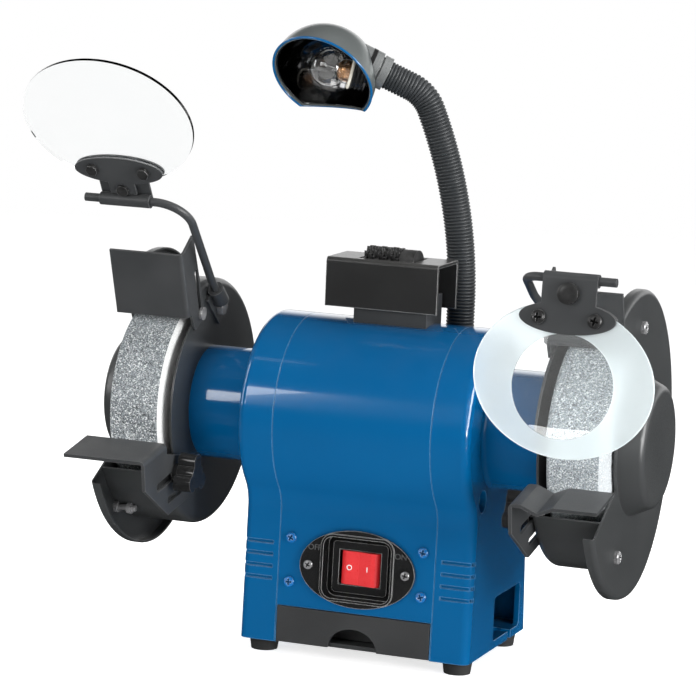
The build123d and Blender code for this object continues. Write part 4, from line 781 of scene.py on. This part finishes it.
# Half-round ring: height over the radius = ringHeight * sqrt(1 - part^2)
def ringProfile(along, radius):
    r = ringSet
    part = np.linspace(-1, 1, r["ringSteps"])
    height = r["ringHeight"] * np.sqrt(1 - part ** 2)
    ring = np.stack([along + part * r["ringWidth"], radius + height], 1)
    foot = radius - r["ringHeight"]
    return np.concatenate([[(ring[0, 0], foot)], ring, [(ring[-1, 0], foot)]])


def makeRings():
    r = ringSet
    place, ahead, _ = neckEnd()
    first, last = r["collarBand"]
    outer = r["collarRadius"] + r["bandHeight"]
    inner = r["collarRadius"] - r["bandDepth"]
    band = [(first, inner), (first, outer), (last, outer), (last, inner)]
    line = place + ahead * bulbSet["gap"], ahead
    makeTurned("collar_band", band, line, "lamp", "blackPlastic", count=96, closed=True)
    line = lampLine()
    rings = [ringProfile(along, r["holderRadius"]) for along in r["holderRings"]]
    points, faces = joined([turned(ring, *line, closed=True) for ring in rings])
    makePiece("holder_rings", points, faces, "lamp", "blackPlastic")
    lip = ringProfile(r["lipAt"], r["holderRadius"] + r["lipLift"])
    makeTurned("holder_lip", lip, line, "lamp", "washerPaper", closed=True)


# Bolt head, nut and end turned about one line across the cover
def makeBolt():
    b = boltSet
    thin, wide = b["radius"], b["headRadius"]
    head, nut = b["headHeight"], b["nutAt"]
    profile = [(0, 0), (0, wide), (head, wide), (head, thin), (nut, thin), (nut, wide), (nut + head, wide),
               (nut + head, thin), (b["length"], thin), (b["length"], 0)]
    line = b["place"], (1, 0, 0)
    makeTurned("left_cover_bolt", profile, line, "base", "chromeScrew", count=36, sharp=30)


makeRings()
makeBolt()
print("rings and bolt made")

# Screw heads and switch marks

frontSet = dict(depth=0.051, slope=0.038, switchX=0.0015, switchZ=0.0589, plate=0.0025)
capSet = dict(
    rings=36, around=96, lift=0.00003, edge=0.3, most=0.009, plainOver=0.006, facing=0.998, level=1e-5,
    dome=4, deep=0.9, firstTurn=0.5, nextTurn=1.3)
casingCap = dict(arm=0.17, reach=0.62, rise=0.0010)
plateCap = dict(arm=0.16, reach=0.6, rise=0.0009)
guardCap = dict(arm=0.16, reach=0.6, rise=0.0012)
markSet = dict(
    wordSize=0.0058, wordX=0.0325, wordRise=0.0128, signSize=0.0054, circleX=-0.0072, lineX=0.0068,
    height=0.00025)
rockerSet = dict(well=0.0074, top=0.0058, half=0.01475, valley=0.0016, tilt=6.0)


# Point and axes on the sloping front face: right, up in the face, out of the face
def frontFrame(x, z):
    tilt = math.atan(frontSet["slope"])
    place = np.array([x, shaftLine[1] - frontSet["depth"] + frontSet["slope"] * z, z])
    up = np.array([0, math.sin(tilt), math.cos(tilt)])
    return place, np.array([1.0, 0, 0]), up, np.array([0, -math.cos(tilt), math.sin(tilt)])


# Middle and radius of each flat round end of a node that faces one way
def headsOf(name, facing):
    c = capSet
    mesh, spots = pointsOf(name)
    mesh.calc_loop_triangles()
    corners = np.empty(len(mesh.loop_triangles) * 3, np.int32)
    mesh.loop_triangles.foreach_get("vertices", corners)
    corners = spots[corners].reshape(-1, 3, 3)
    normal = np.cross(corners[:, 1] - corners[:, 0], corners[:, 2] - corners[:, 0])
    side, other, d = squareTo(facing)
    flat = corners[normal @ d > c["facing"] * np.linalg.norm(normal, axis=1)].reshape(-1, 3)
    heads = []
    while len(flat):
        high = flat @ d
        top = flat[np.argmax(high)]
        across = np.hypot((flat - top) @ side, (flat - top) @ other)
        near = across < 2 * c["most"]
        level = flat[near & (high > high.max() - c["level"])]
        u, v = level @ side, level @ other
        middle = side * (u.min() + u.max()) / 2 + other * (v.min() + v.max()) / 2 + d * high.max()
        heads.append((middle, (u.max() - u.min()) / 2))
        flat = flat[~near]
    return heads


# Domed cap: height = rise*(1 - (r/R)^dome), less the depth of a cross where u or v lies inside an arm
def crossCap(middle, radius, facing, look, turn):
    c = capSet
    side, other, d = squareTo(facing)
    ring = np.linspace(0, 1, c["rings"])[:, None]
    angle = np.linspace(0, 2 * np.pi, c["around"], endpoint=False)[None, :]
    u = np.abs(ring * np.cos(angle + turn))
    v = np.abs(ring * np.sin(angle + turn))
    arm, reach = look["arm"], look["reach"]
    edge = np.minimum(np.maximum(u / arm, v / reach), np.maximum(v / arm, u / reach))
    dent = np.clip((1 + c["edge"] / 2 - edge) / c["edge"], 0, 1)
    deep = c["deep"] if radius < c["plainOver"] else 0.0
    height = c["lift"] + look["rise"] * (1 - ring ** c["dome"]) * (1 - deep * dent)
    flat = radius * ring[..., None] * (np.cos(angle)[..., None] * side + np.sin(angle)[..., None] * other)
    faces = gridFaces(c["rings"], c["around"])
    return middle + flat + height[..., None] * d, faces, dent * (deep > 0)


# Caps for all the heads of a node that face one way
def makeCaps(name, node, facing, body, finish, look):
    heads = headsOf(node, facing)
    turns = [capSet["firstTurn"] + capSet["nextTurn"] * i for i in range(len(heads))]
    shapes = [crossCap(*head, facing, look, turn) for head, turn in zip(heads, turns)]
    print(name, len(heads), "heads")
    points, faces = joined([shape[:2] for shape in shapes])
    # the cross of each cap, where its finish paints shade into the recess
    recess = np.concatenate([shape[2].ravel() for shape in shapes])
    return makePiece(name, points, faces, body, finish, sharp=50, recess=recess)


outward = frontFrame(0, 0)[3]
shieldOut = ovalFrame("right_shield_lens")[0][2]
shieldOut = shieldOut * -np.sign(shieldOut[1])
makeCaps("casing_screw_caps", "casing_screws", outward, "base", "blueScrewPaint", casingCap)
makeCaps("plate_screw_caps", "switch_plate_screws", outward, "base", "chromeScrew", plateCap)
for side, sign in (("left", -1), ("right", 1)):
    makeCaps(f"{side}_facing_caps", "guard_screws", (sign, 0, 0), "base", "chromeScrew", guardCap)
makeCaps("shield_screw_caps", "right_shield_screws", shieldOut, "right_shield", "blackScrew", guardCap)
print("screw caps made")


# A word or letter made a mesh and then set on a face
def makeWord(name, word, size, finish, body, place, right, up, out):
    curve = bpy.data.curves.new(name, "FONT")
    curve.body = word
    curve.size = size
    curve.extrude = markSet["height"]
    curve.align_x = "CENTER"
    curve.align_y = "CENTER"
    draft = bpy.data.objects.new(name + "_draft", curve)
    mesh = bpy.data.meshes.new_from_object(draft)
    bpy.data.objects.remove(draft)
    mesh.transform(frameMatrix(right, up, out, place))
    mesh.name = name
    mesh.materials.clear()
    mesh.materials.append(finishes[finish])
    piece = placed(name, mesh)
    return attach(piece, body)


# Frame on one half of the rocker's face: the half slopes to the valley, and the whole is tipped
def rockerFrame(along):
    r = rockerSet
    place, right, up, out = frontFrame(frontSet["switchX"], frontSet["switchZ"])
    slope = math.copysign(math.atan(r["valley"] / r["half"]), along)
    high = r["top"] - r["valley"] * (1 - abs(along) / r["half"])
    tip = math.radians(r["tilt"])
    tippedRight = right * math.cos(tip) + out * math.sin(tip)
    tippedOut = out * math.cos(tip) - right * math.sin(tip)
    place = place - out * r["well"] + tippedRight * along + tippedOut * high
    faceRight = tippedRight * math.cos(slope) + tippedOut * math.sin(slope)
    return place, faceRight, up, tippedOut * math.cos(slope) - tippedRight * math.sin(slope)


# OFF and ON are raised letters greyed as a painted highlight; O and I are printed white
for word, name, sign in (("OFF", "mark_off", -1), ("ON", "mark_on", 1)):
    x = frontSet["switchX"] + sign * markSet["wordX"]
    place, right, up, out = frontFrame(x, frontSet["switchZ"] + markSet["wordRise"])
    place = place + out * frontSet["plate"]
    makeWord(name, word, markSet["wordSize"], "markGlint", "base", place, right, up, out)
for sign, name, along in (("O", "mark_circle", markSet["circleX"]), ("I", "mark_line", markSet["lineX"])):
    makeWord(name, sign, markSet["signSize"], "markPaint", "rocker", *rockerFrame(along))
print("switch marks made")

# Blue bead on the edge of the lamp hood

hoodSet = dict(
    radius=0.0380, facing=(-0.098, -0.781, -0.617), rise=0.002, flat=0.023, reach=0.0399, drop=0.0214,
    bead=0.0009, steps=900, around=12)


# Edge of the hood: the mouth's circle above the level cut, joined to the cut's own circle behind the mouth
def hoodEdge():
    h = hoodSet
    place, ahead, down = neckEnd()
    centre = place + ahead * (bulbSet["gap"] + h["reach"]) + down * h["drop"]
    u, v, facing = squareTo(h["facing"])
    turn = np.linspace(0, 2 * np.pi, h["steps"], endpoint=False)[:, None]
    mouthRadius, levelRadius = (math.sqrt(h["radius"] ** 2 - h[k] ** 2) for k in ("rise", "flat"))
    mouth = facing * h["rise"] + mouthRadius * (np.cos(turn) * u + np.sin(turn) * v)
    level = levelRadius * np.hstack([np.cos(turn), np.sin(turn), 0 * turn])
    level[:, 2] = -h["flat"]
    arcs = []
    for arc, kept in ((mouth, mouth[:, 2] > -h["flat"]), (level, level @ facing < h["rise"])):
        first = np.flatnonzero(kept & ~np.roll(kept, 1))[0]
        arcs.append(np.roll(arc, -first, axis=0)[:kept.sum()])
    if np.linalg.norm(arcs[0][-1] - arcs[1][0]) > np.linalg.norm(arcs[0][-1] - arcs[1][-1]):
        arcs[1] = arcs[1][::-1]
    return centre + np.concatenate(arcs), centre


# Round bead carried along the edge, square to it: point = edge + bead*(away*cos + other*sin)
def makeBead():
    path, centre = hoodEdge()
    ahead = np.roll(path, -1, axis=0) - np.roll(path, 1, axis=0)
    ahead /= np.linalg.norm(ahead, axis=1)[:, None]
    away = path - centre
    away -= ahead * np.sum(away * ahead, axis=1)[:, None]
    away /= np.linalg.norm(away, axis=1)[:, None]
    around = hoodSet["around"]
    points = carried(path, hoodSet["bead"], away, np.cross(ahead, away), around)
    faces = gridFaces(len(path), around, wrapRows=True)
    makePiece("hood_bead", points, faces, "lamp", "bluePaint")


makeBead()
print("hood bead made")

# Stage, lights and camera

stageSet = dict(
    floorRadius=4.0, floorTone=0.8, floorGlow=0.72, floorZ=float(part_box("rubber_feet")[0].z),
    floorRough=0.8, floorAround=96, floorRings=12, fadeFrom=0.5, fadeTo=2.8, worldDiffuse=0.25,
    worldFront=0.02, worldBack=1.4, worldSeen=1.0, behindSpan=(0.15, 0.75),
    stripSpans=((-0.06, 0.08), (0.5, 0.28)))
lightSet = dict(
    frontBox=dict(place=(-1.28, -2.24, 1.06), aim=(0, -0.04, 0.16), size=(0.55, 0.85), power=9),
    middleBox=dict(
        place=(-0.53, -2.24, 1.06), aim=(0, -0.04, 0.16), size=(0.95, 0.85), power=16, mirrored=False),
    topBox=dict(place=(0.1, 0.1, 2.0), size=(2, 1), power=30, mirrored=False),
    leftBox=dict(place=(-2.0, -0.6, 0.9), size=(0.3, 1.4), power=10),
    rightStrip=dict(place=(2.0, -1.0, 0.36), aim=(0, 0, 0.12), size=(0.3, 0.6), power=24),
    rightBox=dict(place=(2.2, -0.35, 0.9), size=(0.9, 1.4), power=48))


# Round floor that fades out towards its rim
def makeFloor():
    k = stageSet
    turn = np.linspace(0, 2 * np.pi, k["floorAround"], endpoint=False)
    radii = np.linspace(0, k["floorRadius"], k["floorRings"])
    points = np.stack([np.outer(radii, np.cos(turn)), np.outer(radii, np.sin(turn)),
                       np.full((radii.size, turn.size), k["floorZ"])], -1)
    mesh = bpy.data.meshes.new("floor")
    mesh.from_pydata(points.reshape(-1, 3).tolist(), [], gridFaces(radii.size, turn.size).tolist())
    finish, tree, shader = startFinish("paleFloor")
    shader.inputs["Base Color"].default_value = (k["floorTone"],) * 3 + (1,)
    shader.inputs["Roughness"].default_value = k["floorRough"]
    shader.inputs["Emission Color"].default_value = (1, 1, 1, 1)
    shader.inputs["Emission Strength"].default_value = k["floorGlow"]
    where = addNode(tree, "TexCoord")
    size = addNode(tree, "VectorMath", operation="LENGTH")
    tree.links.new(where.outputs["Object"], size.inputs[0])
    fade = ramped(tree, size.outputs["Value"], k["fadeFrom"], k["fadeTo"], 1.0, 0.0)
    tree.links.new(fade, shader.inputs["Alpha"])
    mesh.materials.append(finish)
    floor = placed("floor", mesh)
    floor.visible_glossy = False


def makeLight(name, place, size, power, aim=(0, 0, 0.2), mirrored=True):
    light = bpy.data.lights.new(name, "AREA")
    light.shape = "RECTANGLE"
    light.size, light.size_y = size
    light.energy = power
    holder = placed(name, light)
    holder.location = place
    holder.visible_glossy = mirrored
    holder.rotation_euler = (Vector(aim) - Vector(place)).to_track_quat("-Z", "Y").to_euler()


# White to the eye and through glass; reflections see a dark room with a white strip along its back,
# at bench height
def makeWorld():
    k = stageSet
    world = bpy.data.worlds.new("studio")
    world.use_nodes = True
    tree = world.node_tree
    link = tree.links.new
    background = tree.nodes["Background"]
    where = addNode(tree, "TexCoord")
    parts = addNode(tree, "SeparateXYZ")
    link(where.outputs["Generated"], parts.inputs[0])
    behind = ramped(tree, parts.outputs["Y"], *k["behindSpan"], 0.0, 1.0)
    for span in k["stripSpans"]:
        strip = addNode(tree, "Math", operation="MULTIPLY")
        link(behind, strip.inputs[0])
        link(ramped(tree, parts.outputs["Z"], *span, 0.0, 1.0), strip.inputs[1])
        behind = strip.outputs[0]
    glossy = ramped(tree, behind, 0.0, 1.0, k["worldFront"], k["worldBack"])
    ray = addNode(tree, "LightPath")
    reflected = addNode(tree, "Mix", data_type="FLOAT")
    reflected.inputs[2].default_value = k["worldDiffuse"]
    link(glossy, reflected.inputs[3])
    direct = addNode(tree, "Math", operation="MAXIMUM")
    strength = addNode(tree, "Mix", data_type="FLOAT")
    strength.inputs[3].default_value = k["worldSeen"]
    wire(tree,
         (ray, "Is Glossy Ray", reflected, 0), (ray, "Is Camera Ray", direct, 0),
         (ray, "Is Transmission Ray", direct, 1), (direct, 0, strength, 0), (reflected, 0, strength, 2),
         (strength, 0, background, "Strength"))
    background.inputs["Color"].default_value = (1, 1, 1, 1)
    bpy.context.scene.world = world


makeFloor()
makeWorld()
for name, light in lightSet.items():
    makeLight(name, **light)

cameraSet = dict(
    azimuth=20.337, elevation=8.46, roll=2.428, distance=2.380951, aimX=-0.029154, aimZ=0.21006,
    focalPixels=3333.546, framePixels=696, sensor=36.0, near=0.05, far=50)


# Camera at the photograph's angle: a turn, a tilt and a small roll about the aim point
def makeCamera():
    c = cameraSet
    az, el, roll = (math.radians(c[k]) for k in ("azimuth", "elevation", "roll"))
    back = np.array([math.sin(az) * math.cos(el), -math.cos(az) * math.cos(el), math.sin(el)])
    right = np.array([math.cos(az), math.sin(az), 0])
    up = np.cross(back, right)
    rolledRight = right * math.cos(roll) + up * math.sin(roll)
    rolledUp = up * math.cos(roll) - right * math.sin(roll)
    aim = np.array([c["aimX"] * math.cos(az), c["aimX"] * math.sin(az) + shaftLine[1], c["aimZ"]])
    place = aim + back * c["distance"]
    data = bpy.data.cameras.new("camera")
    data.sensor_width = c["sensor"]
    data.lens = c["focalPixels"] / c["framePixels"] * c["sensor"]
    data.clip_start, data.clip_end = c["near"], c["far"]
    camera = placed("camera", data)
    camera.matrix_world = frameMatrix(rolledRight, rolledUp, back, place)
    bpy.context.scene.camera = camera


makeCamera()
bpy.context.scene.view_settings.view_transform = "Standard"
print("stage, lights and camera made")
